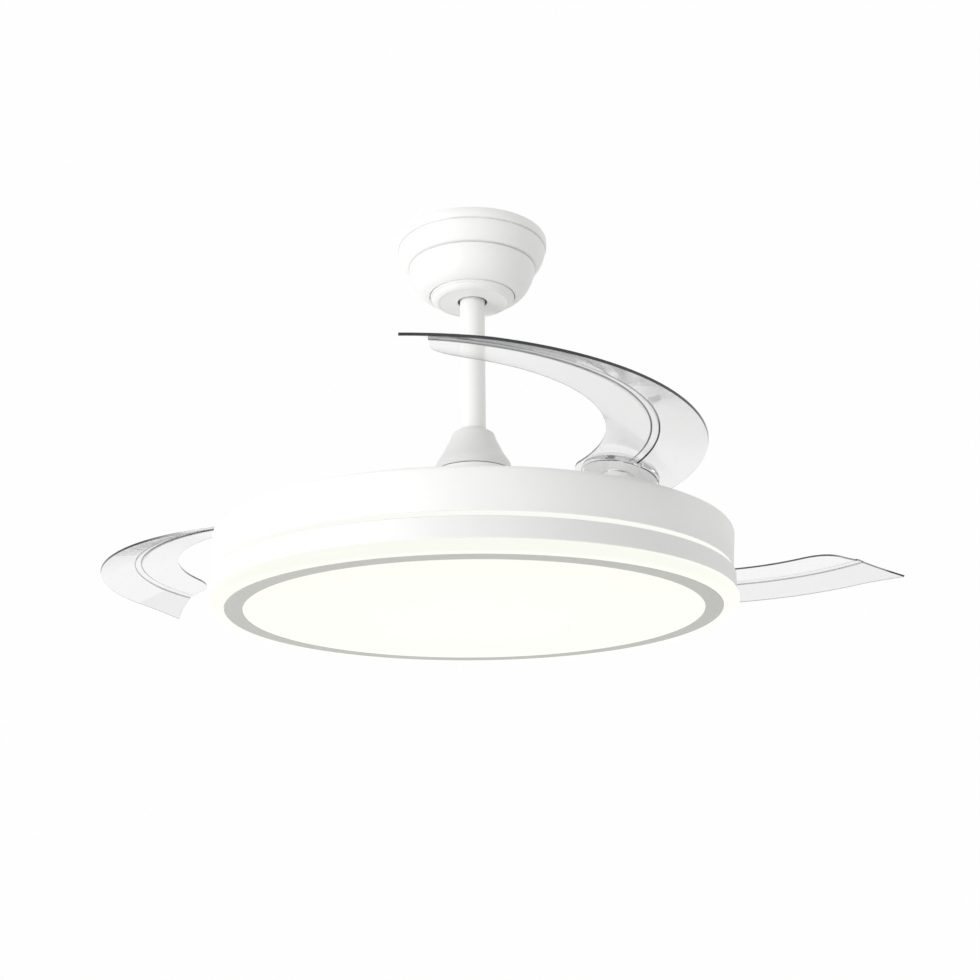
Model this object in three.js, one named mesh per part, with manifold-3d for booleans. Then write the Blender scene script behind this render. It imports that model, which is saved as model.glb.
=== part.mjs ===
// Ceiling fan with three clear blades that fold away over a round lamp.
// Units are millimetres and +Z is up. The origin is the centre of the bracket's top face, on the ceiling,
// and the whole fan hangs below it. The camera side of the fan is -Y.

import * as THREE from "three";
import { mergeVertices } from "three/addons/utils/BufferGeometryUtils.js";
import Module from "manifold-3d";

const wasm = await Module();
wasm.setup();

// ---------------------------------------------------------------- driving sizes

const fit = 0.3; // gap between pieces that seat on each other
const slack = 0.4; // radial gap of a pin or screw in its hole

// Ceiling bracket and canopy
const bracketLength = 130;
const bracketWidth = 34;
const bracketSheet = 2.5;
const bracketSlotSpacing = 104;
const bracketSlotLength = 12;
const bracketSlotWidth = 6;
const armSpacing = 76;
const armWidth = 30;
const seatDrop = 48;
const seatLength = 82;
const seatWidth = 64;
const seatHoleRadius = 20;
const canopyRadius = 77.6;
const canopyBandHeight = 11;
const canopyShoulderRadius = 67;
const canopyShoulderDrop = 31;
const canopyFootRadius = 45;
const canopyHeight = 63;
const canopyWall = 1.6;
const canopyScrewSpacing = 54;
const canopyScrewRadius = 2;
const trimRadius = 43.2;
const trimFaceRadius = 35;
const trimHeight = 6.6;
const trimHoleRadius = 15.2;

// Ball joint, downrod and the bell over the motor coupler
const ballRadius = 24;
const ballTopRise = 8;
const crossPinRadius = 3;
const crossPinRise = 2;
const crossPinLength = 40;
const rodRadius = 12.7;
const rodWall = 1.8;
const rodTopRise = 14;
const rodLength = 228;
const couplerRadius = 17;
const couplerSocket = 24;
const couplerBase = 8;
const couplerPinRadius = 2.5;
const couplerPinRise = 12;
const setScrewRadius = 3;
const setScrewRise = 18;
const bellBaseRadius = 38.2;
const bellShoulderRadius = 21.5;
const bellHeight = 44.6;
const bellDrop = 3.4;
const bellWall = 1.6;

// Motor
const runningGap = 0.8;
const neckRadius = 38;
const neckHeight = 20.7;
const neckRimHeight = 3.5;
const motorRadius = 76;
const motorHeight = 60;
const motorWall = 3.5;
const flangeWidth = 8;
const flangeThickness = 4;
const housingScrewRadius = 2;
const shaftRadius = 8;
const shaftBoreRadius = 4.5;
const bearingHeight = 10;
const upperBearingRadius = 16;
const lowerBearingRadius = 17.5;
const statorHeight = 20;
const statorHubRadius = 30;
const toothCount = 12;
const toothWidth = 8;
const shoeThickness = 4;
const shoeHalfAngle = THREE.MathUtils.degToRad(12.5);
const windingRadius = 56;
const windingOverhang = 5;
const magnetThickness = 5.5;
const airGap = 1;

// Blade carrier, pivots and stops
const carrierHubRadius = 92;
const carrierSheet = 2.5;
const carrierHoleRadius = 22;
const carrierArmWidth = 64;
const carrierArmOverhang = 22; // how far an arm runs on past its pivot
const pivotFlangeRadius = 11;
const pivotFlangeHeight = 2.5;
const pivotRadius = 6;
const rivetRadius = 7;
const rivetHeight = 2.8;
const stopRadius = 3.5;
const stopDistance = 24;
const springRadius = 9.2;
const springWireRadius = 0.9;
const springTurns = 2.5;
const springLegLength = 9;

// Blades: each is a slice of a shallow cone, drawn folded and concentric with the drum
const bladeCount = 3;
const firstPivotAngle = THREE.MathUtils.degToRad(-53.15);
const foldAngle = THREE.MathUtils.degToRad(77.5);
const heldBack = THREE.MathUtils.degToRad(11); // how far the two far blades stand short of fully out
const bladeOverlap = 0.5; // how far the folded blade's outer edge stands past the drum
const bladeWidth = 79;
const creaseOffset = 2.1; // how far outside the blade's middle the crease runs
const creaseShift = 7; // how far the crease is drawn inwards at the root
const creaseShiftSweep = THREE.MathUtils.degToRad(62);
const creaseWidth = 6.5;
const bladeThickness = 2;
const outerEdgeRise = 4; // edge heights above the drum's rim
const creaseRise = 18;
const innerEdgeRise = 24;
const bladeSweep = THREE.MathUtils.degToRad(110);
const endCut = THREE.MathUtils.degToRad(6.5); // how far the inner corner lies behind the tip
const tipFlare = 4.2;
const tipDroop = 2;
const flareStart = 0.88; // share of the sweep where the tip begins to flare and droop
const padMargin = 5.5; // the root's rim left round the pad
const padThickness = 7;
const padSink = 1; // the pad's centre below the crease, so that the sheet runs inside the pad
const hubBoreClearance = 0.4;
const hubBarrelRadius = 15;
const hubNeckRadius = 9.6;
const hubFlangeMargin = 7; // how far the flange and the clamp stay inside the pad
const hubFlangeHeight = 2.4;
const hubFlangeRise = 3.6; // underside of the hub flange above the drum's rim
const clampMargin = 1.7;
const clampHeight = 4;
const pivotScrewHeadRadius = 9;
const pivotScrewRadius = 3;

// Lamp
const drumRadius = 250.9;
const drumTaper = 3.1;
const drumWall = 3.2;
const rimHeight = 70.5; // heights above the lamp's face
const deckHeight = 51.7;
const shellFootHeight = 33.6;
const bandFootHeight = 10.1;
const stripHeight = 4.4;
const bandInset = 0.7; // the band and the glowing ring against the drum's rim
const bandWall = 2;
const glowOverhang = 1.1;
const shellDepth = 7.8; // from the drum's waist in to the chassis skirt
const greyInset = 3;
const greyWidth = 17.1;
const diffuserThickness = 4;
const diffuserLip = 7;
const deckRim = 4.3; // from the drum's rim in to the deck's edge
const sheet = 1.5;
const deckGap = 9;
const boardHeight = 34;
const boardRadius = 228;
const boardHoleRadius = 22;
const spacerRadius = 5;
const spacerCircle = 150;
const driverSize = new THREE.Vector3(110, 44, 12);
const driverOffset = 105;
const receiverSize = new THREE.Vector3(64, 34, 10);
const receiverOffset = 100;
const nutHeight = 6;
const nutRadius = 14;

const drumSegments = 48;
const canopySegments = 32;
const midSegments = 24;
const smallSegments = 16;
const pinSegments = 8;

// ---------------------------------------------------------------- levels, worked out from the ceiling down

const seatTopZ = -seatDrop;
const ballZ = seatTopZ + Math.sqrt(ballRadius ** 2 - seatHoleRadius ** 2) + fit;
const rodTopZ = ballZ + rodTopRise;
const rodBottomZ = rodTopZ - rodLength;
const couplerBottomZ = rodBottomZ - couplerBase;
const bellBaseZ = couplerBottomZ + bellDrop;
const neckTopZ = bellBaseZ - runningGap;
const motorTopZ = neckTopZ - neckHeight;
const motorBottomZ = motorTopZ - motorHeight;
const housingSplitZ = (motorTopZ + motorBottomZ) / 2;
const carrierTopZ = motorBottomZ - fit;
const carrierBottomZ = carrierTopZ - carrierSheet;
const deckTopZ = carrierBottomZ - deckGap;
const faceZ = deckTopZ - deckHeight;
const rimZ = faceZ + rimHeight;
const deckBottomZ = deckTopZ - sheet;
const statorZ = (motorTopZ + motorBottomZ) / 2;
const hubFlangeZ = rimZ + hubFlangeRise;
const creaseZ = rimZ + creaseRise;
const padZ = creaseZ - padSink;
const drumWaistRadius = drumRadius - drumTaper;
const bandRadius = drumRadius - bandInset;
const glowRadius = drumRadius + glowOverhang;
const chassisRadius = drumRadius - deckRim;
const skirtRadius = drumWaistRadius - shellDepth;
const greyOuterRadius = skirtRadius - greyInset;
const greyInnerRadius = greyOuterRadius - greyWidth;
const bladeOuterRadius = drumRadius + bladeOverlap;
const bladeInnerRadius = bladeOuterRadius - bladeWidth;
const pivotCircle = (bladeOuterRadius + bladeInnerRadius) / 2;
const creaseRadius = pivotCircle + creaseOffset;
const padRadius = bladeWidth / 2 - padMargin;
const padSlope = (innerEdgeRise - outerEdgeRise) / bladeWidth;
const padHalf = (padThickness / 2) * Math.hypot(1, padSlope);
const hubFlangeRadius = padRadius - hubFlangeMargin;
const clampRadius = padRadius - clampMargin;
const postTopZ = padZ + padHalf;
const hubNeckTopZ = postTopZ + fit;

// ---------------------------------------------------------------- materials

function finish(color, roughness, metalness, opacity = 1) {
  return new THREE.MeshStandardMaterial({
    color,
    roughness,
    metalness,
    opacity,
    transparent: opacity < 1,
  });
}

const whitePaint = finish(0xf4f4f2, 0.45, 0);
const whitePlastic = finish(0xf7f7f5, 0.4, 0);
const clearPlastic = finish(0xf2f5f5, 0.05, 0, 0.35);
const glowPlastic = finish(0xfffef2, 0.5, 0);
const greyPaint = finish(0xc6c7c2, 0.45, 0.1);
const steel = finish(0xb9bcc0, 0.35, 1);
const zincSteel = finish(0xa8acb0, 0.45, 1);
const springSteel = finish(0x7f848a, 0.3, 1);
const castAluminium = finish(0xc9cccf, 0.5, 1);
const siliconSteel = finish(0x6d7176, 0.5, 1);
const copper = finish(0xb66b3c, 0.35, 1);
const ferrite = finish(0x3a3a3d, 0.7, 0.2);
const blackPlastic = finish(0x2c2d2f, 0.6, 0);
const boardWhite = finish(0xeeeeea, 0.6, 0);

// ---------------------------------------------------------------- shape helpers

// Turns the triangles of a closed geometry to point outwards.
function facingOut(geometry) {
  const p = geometry.attributes.position;
  const index = geometry.index.array;
  const [a, b, c] = [new THREE.Vector3(), new THREE.Vector3(), new THREE.Vector3()];
  let volume = 0;
  for (let i = 0; i < index.length; i += 3) {
    a.fromBufferAttribute(p, index[i]);
    b.fromBufferAttribute(p, index[i + 1]);
    c.fromBufferAttribute(p, index[i + 2]);
    volume += a.dot(b.cross(c));
  }
  if (volume < 0) {
    for (let i = 0; i < index.length; i += 3) {
      [index[i + 1], index[i + 2]] = [index[i + 2], index[i + 1]];
    }
  }
  return geometry;
}

// Keeps positions only, joins shared vertices and points the faces outwards.
function closed(geometry) {
  const bare = geometry.clone();
  bare.deleteAttribute("normal");
  bare.deleteAttribute("uv");
  return facingOut(mergeVertices(bare, 1e-3));
}

// A solid turned about Z from a closed [radius, height] outline.
function turned(outline, segments) {
  const points = outline.map(([r, z]) => new THREE.Vector2(r, z));
  if (outline.some(([r]) => r > 0) && outline[0][0] > 0) points.push(points[0].clone());
  return closed(new THREE.LatheGeometry(points, segments).rotateX(Math.PI / 2));
}

// A flat outline pushed up from z = low to z = high.
function extruded(shape, low, high, curveSegments = 6) {
  const options = { depth: high - low, bevelEnabled: false, curveSegments };
  return closed(new THREE.ExtrudeGeometry(shape, options).translate(0, 0, low));
}

function cylinder(radius, low, high, segments) {
  const made = new THREE.CylinderGeometry(radius, radius, high - low, segments);
  return closed(made.rotateX(Math.PI / 2).translate(0, 0, (low + high) / 2));
}

function tube(outer, inner, low, high, segments) {
  return turned([[inner, low], [outer, low], [outer, high], [inner, high]], segments);
}

function box(width, depth, low, high) {
  return closed(new THREE.BoxGeometry(width, depth, high - low).translate(0, 0, (low + high) / 2));
}

function asSolid(geometry) {
  return new wasm.Manifold(
    new wasm.Mesh({
      numProp: 3,
      vertProperties: new Float32Array(geometry.attributes.position.array),
      triVerts: new Uint32Array(geometry.index.array),
    }),
  );
}

function asGeometry(solid) {
  const mesh = solid.getMesh();
  return new THREE.BufferGeometry()
    .setAttribute("position", new THREE.BufferAttribute(mesh.vertProperties, 3))
    .setIndex(new THREE.BufferAttribute(mesh.triVerts, 1));
}

function joined(first, ...others) {
  return asGeometry(others.reduce((sum, other) => sum.add(asSolid(other)), asSolid(first)));
}

function cut(first, ...tools) {
  return asGeometry(tools.reduce((rest, tool) => rest.subtract(asSolid(tool)), asSolid(first)));
}

function common(first, second) {
  return asGeometry(asSolid(first).intersect(asSolid(second)));
}

// Points of a smooth curve through a few [x, y] pairs.
function smooth(pairs, count) {
  const curve = new THREE.SplineCurve(pairs.map(([x, y]) => new THREE.Vector2(x, y)));
  return curve.getPoints(count).map((p) => [p.x, p.y]);
}

function polar(radius, angle) {
  return [radius * Math.cos(angle), radius * Math.sin(angle)];
}

const fan = new THREE.Group();

// Adds one named piece to a group.
function place(name, geometry, material, parent = fan) {
  const flat = geometry.index ? geometry.toNonIndexed() : geometry;
  flat.computeVertexNormals();
  const mesh = new THREE.Mesh(flat, material);
  mesh.name = name;
  parent.add(mesh);
  return mesh;
}

// ---------------------------------------------------------------- ceiling bracket and canopy

function slotHole(x) {
  const hole = new THREE.Path();
  const half = (bracketSlotLength - bracketSlotWidth) / 2;
  const r = bracketSlotWidth / 2;
  hole.absarc(x + half, 0, r, -Math.PI / 2, Math.PI / 2, false);
  hole.absarc(x - half, 0, r, Math.PI / 2, (3 * Math.PI) / 2, false);
  return hole;
}

function roundHole(x, y, radius) {
  const hole = new THREE.Path();
  hole.absarc(x, y, radius, 0, 2 * Math.PI, false);
  return hole;
}

function roundedRectangle(length, width, corner) {
  const shape = new THREE.Shape();
  const x = length / 2 - corner;
  const y = width / 2 - corner;
  shape.absarc(x, y, corner, 0, Math.PI / 2, false);
  shape.absarc(-x, y, corner, Math.PI / 2, Math.PI, false);
  shape.absarc(-x, -y, corner, Math.PI, (3 * Math.PI) / 2, false);
  shape.absarc(x, -y, corner, (3 * Math.PI) / 2, 2 * Math.PI, false);
  return shape;
}

function buildBracket() {
  const top = roundedRectangle(bracketLength, bracketWidth, bracketWidth / 3);
  top.holes.push(slotHole(bracketSlotSpacing / 2), slotHole(-bracketSlotSpacing / 2));
  const seat = roundedRectangle(seatLength, seatWidth, seatWidth / 4);
  const screwHole = canopyScrewRadius + slack;
  seat.holes.push(roundHole(0, canopyScrewSpacing / 2, screwHole));
  seat.holes.push(roundHole(0, -canopyScrewSpacing / 2, screwHole));
  const arm = box(bracketSheet, armWidth, seatTopZ - bracketSheet, 0);
  const x = (armSpacing + bracketSheet) / 2;
  const bracket = joined(
    extruded(top, -bracketSheet, 0, 3),
    arm.clone().translate(x, 0, 0),
    arm.clone().translate(-x, 0, 0),
    extruded(seat, seatTopZ - bracketSheet, seatTopZ, 4),
  );
  const seatHole = cylinder(seatHoleRadius + slack, seatTopZ - 5, seatTopZ + 5, smallSegments);
  place("ceiling_bracket", cut(bracket, seatHole), zincSteel);
}

// The canopy's outside, from the ceiling down: a band, a drawn-in tier and a bowl with a step between each.
function canopyOutline(inset) {
  const r = canopyRadius - inset;
  const step = 1.2;
  const shoulder = canopyShoulderRadius - inset;
  const foot = canopyFootRadius - inset;
  const bandEnd = -canopyBandHeight;
  const tierEnd = -canopyShoulderDrop;
  const tierRadius = (t) => r - step + (shoulder - r + step) * t;
  const tierZ = (t) => bandEnd + (tierEnd - bandEnd) * t;
  const bowl = shoulder - step;
  const bowlZ = (t) => tierEnd + (inset - canopyHeight - tierEnd) * t;
  const bowlRadius = (t) => bowl + (foot - bowl) * t;
  const tier = [[tierRadius(0.06), tierZ(0.12)], [tierRadius(0.4), tierZ(0.6)], [shoulder, tierEnd]];
  const bowlCurve = [[bowlRadius(0.06), bowlZ(0.2)], [bowlRadius(0.42), bowlZ(0.72)], [foot, bowlZ(1)]];
  if (inset > 0) return [[r - step, -fit], tier[1], tier[2], bowlCurve[1], bowlCurve[2]];
  return [
    [r - step / 2, -fit],
    [r, -canopyBandHeight / 2],
    [r - step / 3, bandEnd],
    [tierRadius(0), bandEnd - 0.4],
    ...smooth(tier, 3),
    [bowl, tierEnd - 0.4],
    ...smooth(bowlCurve, 5),
  ];
}

function buildCanopy() {
  const holeRadius = trimHoleRadius + 2 * slack;
  const shell = turned(
    [
      ...canopyOutline(0),
      [holeRadius, -canopyHeight],
      [holeRadius, canopyWall - canopyHeight],
      ...canopyOutline(canopyWall).reverse(),
    ],
    canopySegments,
  );
  const y = canopyScrewSpacing / 2;
  const hole = cylinder(canopyScrewRadius + slack, -canopyHeight - 1, -canopyHeight + canopyWall + 1, pinSegments);
  place(
    "canopy",
    cut(shell, hole.clone().translate(0, y, 0), hole.clone().translate(0, -y, 0)),
    whitePaint,
  );
  const headTop = -canopyHeight - fit;
  for (const [name, side] of [["canopy_screw_front", -1], ["canopy_screw_back", 1]]) {
    const screw = turned(
      [[0, headTop - 2.2], [3.6, headTop - 2.2], [3.6, headTop], [canopyScrewRadius, headTop],
        [canopyScrewRadius, seatTopZ + 2], [0, seatTopZ + 2]],
      pinSegments,
    );
    place(name, screw, zincSteel).position.y = side * y;
  }
  const top = -canopyHeight - fit;
  const bottom = -canopyHeight - trimHeight;
  const wall = canopyWall;
  const ring = [
    [trimRadius, top],
    [trimRadius, bottom + 0.78 * trimHeight],
    [trimRadius - 1.2, bottom + 0.6 * trimHeight],
    [trimFaceRadius + 3, bottom + 0.14 * trimHeight],
    [trimFaceRadius, bottom],
    [trimHoleRadius, bottom],
    [trimHoleRadius, bottom + wall],
    [trimFaceRadius + 1, bottom + wall],
    [trimRadius - 2 * wall, bottom + 0.72 * trimHeight],
    [trimRadius - wall, top],
  ];
  place("canopy_trim_ring", turned(ring, canopySegments), whitePaint);
}

// ---------------------------------------------------------------- ball joint, downrod, coupler and bell

function crossHole(radius, z) {
  return cylinder(radius + slack, -2 * ballRadius, 2 * ballRadius, pinSegments)
    .rotateY(Math.PI / 2)
    .translate(0, 0, z);
}

function buildDownrod() {
  const bore = rodRadius + fit;
  const arc = [];
  const lowAngle = -Math.acos(bore / ballRadius);
  const highAngle = Math.asin(ballTopRise / ballRadius);
  const steps = 5;
  for (let i = 0; i <= steps; i++) {
    const a = lowAngle + ((highAngle - lowAngle) * i) / steps;
    arc.push([ballRadius * Math.cos(a), ballZ + ballRadius * Math.sin(a)]);
  }
  const ball = turned([...arc, [bore, ballZ + ballTopRise]], smallSegments);
  const pinZ = ballZ + crossPinRise;
  place("hanger_ball", cut(ball, crossHole(crossPinRadius, pinZ)), blackPlastic);
  const pin = cylinder(crossPinRadius, -crossPinLength / 2, crossPinLength / 2, pinSegments);
  place("ball_cross_pin", pin.rotateY(Math.PI / 2).translate(0, 0, pinZ), zincSteel);

  const couplerPinZ = rodBottomZ + couplerPinRise;
  const rod = tube(rodRadius, rodRadius - rodWall, rodBottomZ, rodTopZ, smallSegments);
  const rodHoles = [crossHole(crossPinRadius, pinZ), crossHole(couplerPinRadius, couplerPinZ)];
  place("downrod", cut(rod, ...rodHoles), whitePaint);

  const socketTop = rodBottomZ + couplerSocket;
  const shaftBore = shaftRadius + fit;
  const coupler = turned(
    [[shaftBore, couplerBottomZ], [couplerRadius, couplerBottomZ], [couplerRadius, socketTop],
      [bore, socketTop], [bore, rodBottomZ - fit], [shaftBore, rodBottomZ - fit]],
    smallSegments,
  );
  const screwZ = rodBottomZ + setScrewRise;
  const screwHole = cylinder(setScrewRadius + slack, rodRadius - 2, couplerRadius + 2, pinSegments)
    .rotateX(Math.PI / 2)
    .translate(0, 0, screwZ);
  place("motor_coupler", cut(coupler, crossHole(couplerPinRadius, couplerPinZ), screwHole), castAluminium);
  const couplerPinLength = 2 * couplerRadius + 2;
  const couplerPin = cylinder(couplerPinRadius, -couplerPinLength / 2, couplerPinLength / 2, pinSegments);
  place("coupler_pin", couplerPin.rotateY(Math.PI / 2).translate(0, 0, couplerPinZ), zincSteel);
  const setScrew = cylinder(setScrewRadius, rodRadius + fit, couplerRadius + 1.5, pinSegments)
    .rotateX(Math.PI / 2)
    .translate(0, 0, screwZ);
  place("coupler_set_screw", setScrew, zincSteel);
}

// The bell's flare, from its base up to the collar round the rod.
function bellOutline(inset, steps) {
  const base = bellBaseRadius - inset;
  const shoulder = bellShoulderRadius - inset;
  const collar = rodRadius + slack;
  const top = bellBaseZ + bellHeight - inset;
  const at = (f) => bellBaseZ + bellHeight * f;
  return [
    [base, bellBaseZ],
    ...smooth(
      [[base - 0.5, at(0.05)], [base - 5.4, at(0.28)], [shoulder + 4.2, at(0.56)], [shoulder, at(0.86)]],
      steps,
    ),
    [shoulder - 2.4, top - 1.3],
    [collar, top],
  ];
}

function buildBell() {
  const bell = turned([...bellOutline(0, 8), ...bellOutline(bellWall, 5).reverse()], midSegments);
  place("coupling_cover", bell, whitePaint);
}

// ---------------------------------------------------------------- motor

function buildShaft() {
  const low = deckBottomZ - nutHeight - 2;
  const high = rodBottomZ - 1;
  place("motor_shaft", tube(shaftRadius, shaftBoreRadius, low, high, smallSegments), steel);
  const upperTop = neckTopZ - neckRimHeight - 2;
  const inner = shaftRadius + fit;
  const upper = tube(upperBearingRadius, inner, upperTop - bearingHeight, upperTop, smallSegments);
  place("upper_bearing", upper, steel);
  const lowerBottom = motorBottomZ + motorWall - 0.5;
  const lower = tube(lowerBearingRadius, inner, lowerBottom, lowerBottom + bearingHeight, smallSegments);
  place("lower_bearing", lower, steel);
}

// One lamination: a hub with teeth that end in wide pole shoes.
function laminationShape() {
  const stator = motorRadius - motorWall - fit - magnetThickness - airGap;
  const neck = stator - shoeThickness;
  const pitch = (2 * Math.PI) / toothCount;
  const points = [];
  for (let i = 0; i < toothCount; i++) {
    const centre = i * pitch;
    const foot = Math.asin(toothWidth / 2 / statorHubRadius);
    const top = Math.asin(toothWidth / 2 / neck);
    points.push(polar(statorHubRadius, centre - foot));
    points.push(polar(neck, centre - top));
    points.push(polar(neck + 1, centre - shoeHalfAngle));
    points.push(polar(stator, centre - shoeHalfAngle));
    points.push(polar(stator, centre + shoeHalfAngle));
    points.push(polar(neck + 1, centre + shoeHalfAngle));
    points.push(polar(neck, centre + top));
    points.push(polar(statorHubRadius, centre + foot));
  }
  const shape = new THREE.Shape(points.map(([x, y]) => new THREE.Vector2(x, y)));
  shape.holes.push(roundHole(0, 0, shaftRadius + fit));
  return shape;
}

function buildStator() {
  const low = statorZ - statorHeight / 2;
  const high = statorZ + statorHeight / 2;
  place("stator_core", extruded(laminationShape(), low, high), siliconSteel);
  const inner = statorHubRadius + fit;
  const coils = tube(windingRadius, inner, low - windingOverhang, high + windingOverhang, midSegments);
  const tunnels = [];
  const length = windingRadius - inner + 2;
  for (let i = 0; i < toothCount; i++) {
    const tooth = box(length, toothWidth + 2 * fit, low - fit, high + fit);
    tooth.translate(inner + length / 2 - 1, 0, 0).rotateZ((i * 2 * Math.PI) / toothCount);
    tunnels.push(tooth);
  }
  place("stator_winding", cut(coils, ...tunnels), copper);
}

// Upper half of the rotor: neck with the bearing seat, rounded top, wall and bolting flange.
function upperHousingOutline() {
  const r = motorRadius;
  const seat = upperBearingRadius + fit;
  const top = neckTopZ - neckRimHeight;
  const ceiling = motorTopZ - motorWall;
  const split = housingSplitZ + fit / 2;
  return [
    [shaftRadius + 3, top - 2 + fit],
    [shaftRadius + 3, top],
    [neckRadius - 3, top],
    [neckRadius - 3, neckTopZ],
    [neckRadius, neckTopZ],
    [neckRadius, motorTopZ],
    [r - 8, motorTopZ],
    [r, motorTopZ - 8],
    [r, split + flangeThickness],
    [r + flangeWidth, split + flangeThickness],
    [r + flangeWidth, split],
    [r - motorWall, split],
    [r - motorWall, ceiling - 6],
    [r - 9, ceiling],
    [seat, ceiling],
    [seat, top - 2 + fit],
  ];
}

// Lower half of the rotor: a pan with the lower bearing's seat standing in it.
function lowerHousingOutline() {
  const r = motorRadius;
  const seat = lowerBearingRadius + fit;
  const floor = motorBottomZ + motorWall;
  const split = housingSplitZ - fit / 2;
  const seatFloor = floor - 0.5 - fit;
  return [
    [shaftRadius + 3, motorBottomZ],
    [r - 6, motorBottomZ],
    [r, motorBottomZ + 6],
    [r, split - flangeThickness],
    [r + flangeWidth, split - flangeThickness],
    [r + flangeWidth, split],
    [r - motorWall, split],
    [r - motorWall, floor + 2.5],
    [r - 8, floor],
    [seat + 4, floor],
    [seat + 4, floor + bearingHeight],
    [seat, floor + bearingHeight],
    [seat, seatFloor],
    [shaftRadius + 3, seatFloor],
  ];
}

function buildRotor() {
  const screwAngles = [30, 150, 270].map(THREE.MathUtils.degToRad);
  const circle = motorRadius + flangeWidth / 2;
  const flangeTop = housingSplitZ + fit / 2 + flangeThickness;
  const flangeBottom = housingSplitZ - fit / 2 - flangeThickness;
  const holes = screwAngles.map((a) => {
    const hole = cylinder(housingScrewRadius + slack, flangeBottom - 1, flangeTop + 1, pinSegments);
    return hole.translate(...polar(circle, a), 0);
  });
  place("upper_housing", cut(turned(upperHousingOutline(), midSegments), ...holes), whitePaint);
  place("lower_housing", cut(turned(lowerHousingOutline(), midSegments), ...holes), castAluminium);
  screwAngles.forEach((a, i) => {
    const head = flangeTop + fit;
    const r = housingScrewRadius;
    const screw = turned(
      [[0, flangeBottom - 3], [r, flangeBottom - 3], [r, head], [3.4, head], [3.4, head + 2.4], [0, head + 2.4]],
      pinSegments,
    );
    const [x, y] = polar(circle, a);
    place(`housing_screw_${i + 1}`, screw, zincSteel).position.set(x, y, 0);
  });
  const outer = motorRadius - motorWall - fit;
  const reach = statorHeight / 2 + 1;
  const magnets = tube(outer, outer - magnetThickness, statorZ - reach, statorZ + reach, midSegments);
  place("magnet_ring", magnets, ferrite);
}

// ---------------------------------------------------------------- blade carrier, pivots, springs and stops

function pivotAngle(i) {
  return firstPivotAngle + (i * 2 * Math.PI) / bladeCount;
}

// Where the stop stands in its blade's own frame on the carrier: between the pivot and the motor.
const stopPoint = [-stopDistance, 0];

// A round plate under the motor with one arm out to each pivot.
function buildCarrier() {
  const half = carrierArmWidth / 2;
  const root = Math.asin(half / carrierHubRadius);
  const endCentre = pivotCircle + carrierArmOverhang - half;
  const plate = new THREE.Shape();
  for (let i = 0; i < bladeCount; i++) {
    const a = pivotAngle(i);
    const [x, y] = polar(endCentre, a);
    plate.absarc(x, y, half, a - Math.PI / 2, a + Math.PI / 2, false);
    plate.absarc(0, 0, carrierHubRadius, a + root, pivotAngle(i + 1) - root, false);
  }
  plate.holes.push(roundHole(0, 0, carrierHoleRadius));
  const disc = extruded(plate, carrierBottomZ, carrierTopZ, 7);
  const holes = [];
  for (let i = 0; i < bladeCount; i++) {
    const [x, y] = polar(pivotCircle, pivotAngle(i));
    const [sx, sy] = polar(pivotCircle - stopDistance, pivotAngle(i));
    const hole = (r, segments) => cylinder(r, carrierBottomZ - 1, carrierTopZ + 1, segments);
    holes.push(hole(pivotRadius - 1 + slack, smallSegments).translate(x, y, 0));
    holes.push(hole(stopRadius - 1 + slack, pinSegments).translate(sx, sy, 0));
  }
  place("blade_carrier", cut(disc, ...holes), whitePaint);
}

function buildPivotPost() {
  const spigot = pivotRadius - 1;
  const foot = carrierTopZ + fit;
  const rivetTop = carrierBottomZ - fit;
  const screwBore = pivotScrewRadius + slack;
  return turned(
    [[0, rivetTop - rivetHeight], [rivetRadius, rivetTop - rivetHeight], [rivetRadius, rivetTop],
      [spigot, rivetTop], [spigot, foot], [pivotFlangeRadius, foot],
      [pivotFlangeRadius, foot + pivotFlangeHeight], [pivotRadius, foot + pivotFlangeHeight],
      [pivotRadius, postTopZ], [screwBore, postTopZ], [screwBore, postTopZ - 12], [0, postTopZ - 12]],
    smallSegments,
  );
}

function buildPivotScrew() {
  const head = hubNeckTopZ + fit;
  const r = pivotScrewRadius;
  return turned(
    [[0, postTopZ - 10], [r, postTopZ - 10], [r, head], [pivotScrewHeadRadius, head],
      [pivotScrewHeadRadius, head + 1], [pivotScrewHeadRadius - 2, head + 2.6], [0, head + 2.6]],
    smallSegments,
  );
}

function buildStopPost() {
  const foot = carrierTopZ + fit;
  const spigot = stopRadius - 1;
  const top = hubFlangeZ + hubFlangeHeight - fit;
  const rivetTop = carrierBottomZ - fit;
  return turned(
    [[0, rivetTop - 1.5], [stopRadius, rivetTop - 1.5], [stopRadius, rivetTop], [spigot, rivetTop],
      [spigot, foot], [stopRadius, foot], [stopRadius, top], [0, top]],
    pinSegments,
  );
}

// A torsion spring round the pivot post with a straight leg at each end.
class SpringPath extends THREE.Curve {
  constructor(low, high) {
    super();
    this.low = low;
    this.high = high;
    this.turn = 2 * Math.PI * springRadius * springTurns;
    this.length = this.turn + 2 * springLegLength;
  }

  getPoint(t, target = new THREE.Vector3()) {
    const s = t * this.length - springLegLength;
    const along = THREE.MathUtils.clamp(s, 0, this.turn);
    const angle = along / springRadius;
    const past = s - along;
    const x = springRadius * Math.cos(angle) - past * Math.sin(angle);
    const y = springRadius * Math.sin(angle) + past * Math.cos(angle);
    return target.set(x, y, this.low + ((this.high - this.low) * along) / this.turn);
  }
}

function buildSpring() {
  const low = carrierTopZ + fit + pivotFlangeHeight + fit + springWireRadius;
  const high = hubFlangeZ - fit - springWireRadius;
  const section = new THREE.Shape();
  section.absarc(0, 0, springWireRadius, 0, 2 * Math.PI, false);
  const options = { steps: 24, curveSegments: 3, bevelEnabled: false, extrudePath: new SpringPath(low, high) };
  return closed(new THREE.ExtrudeGeometry(section, options));
}

// ---------------------------------------------------------------- blade, hub and clamp, drawn folded

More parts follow.
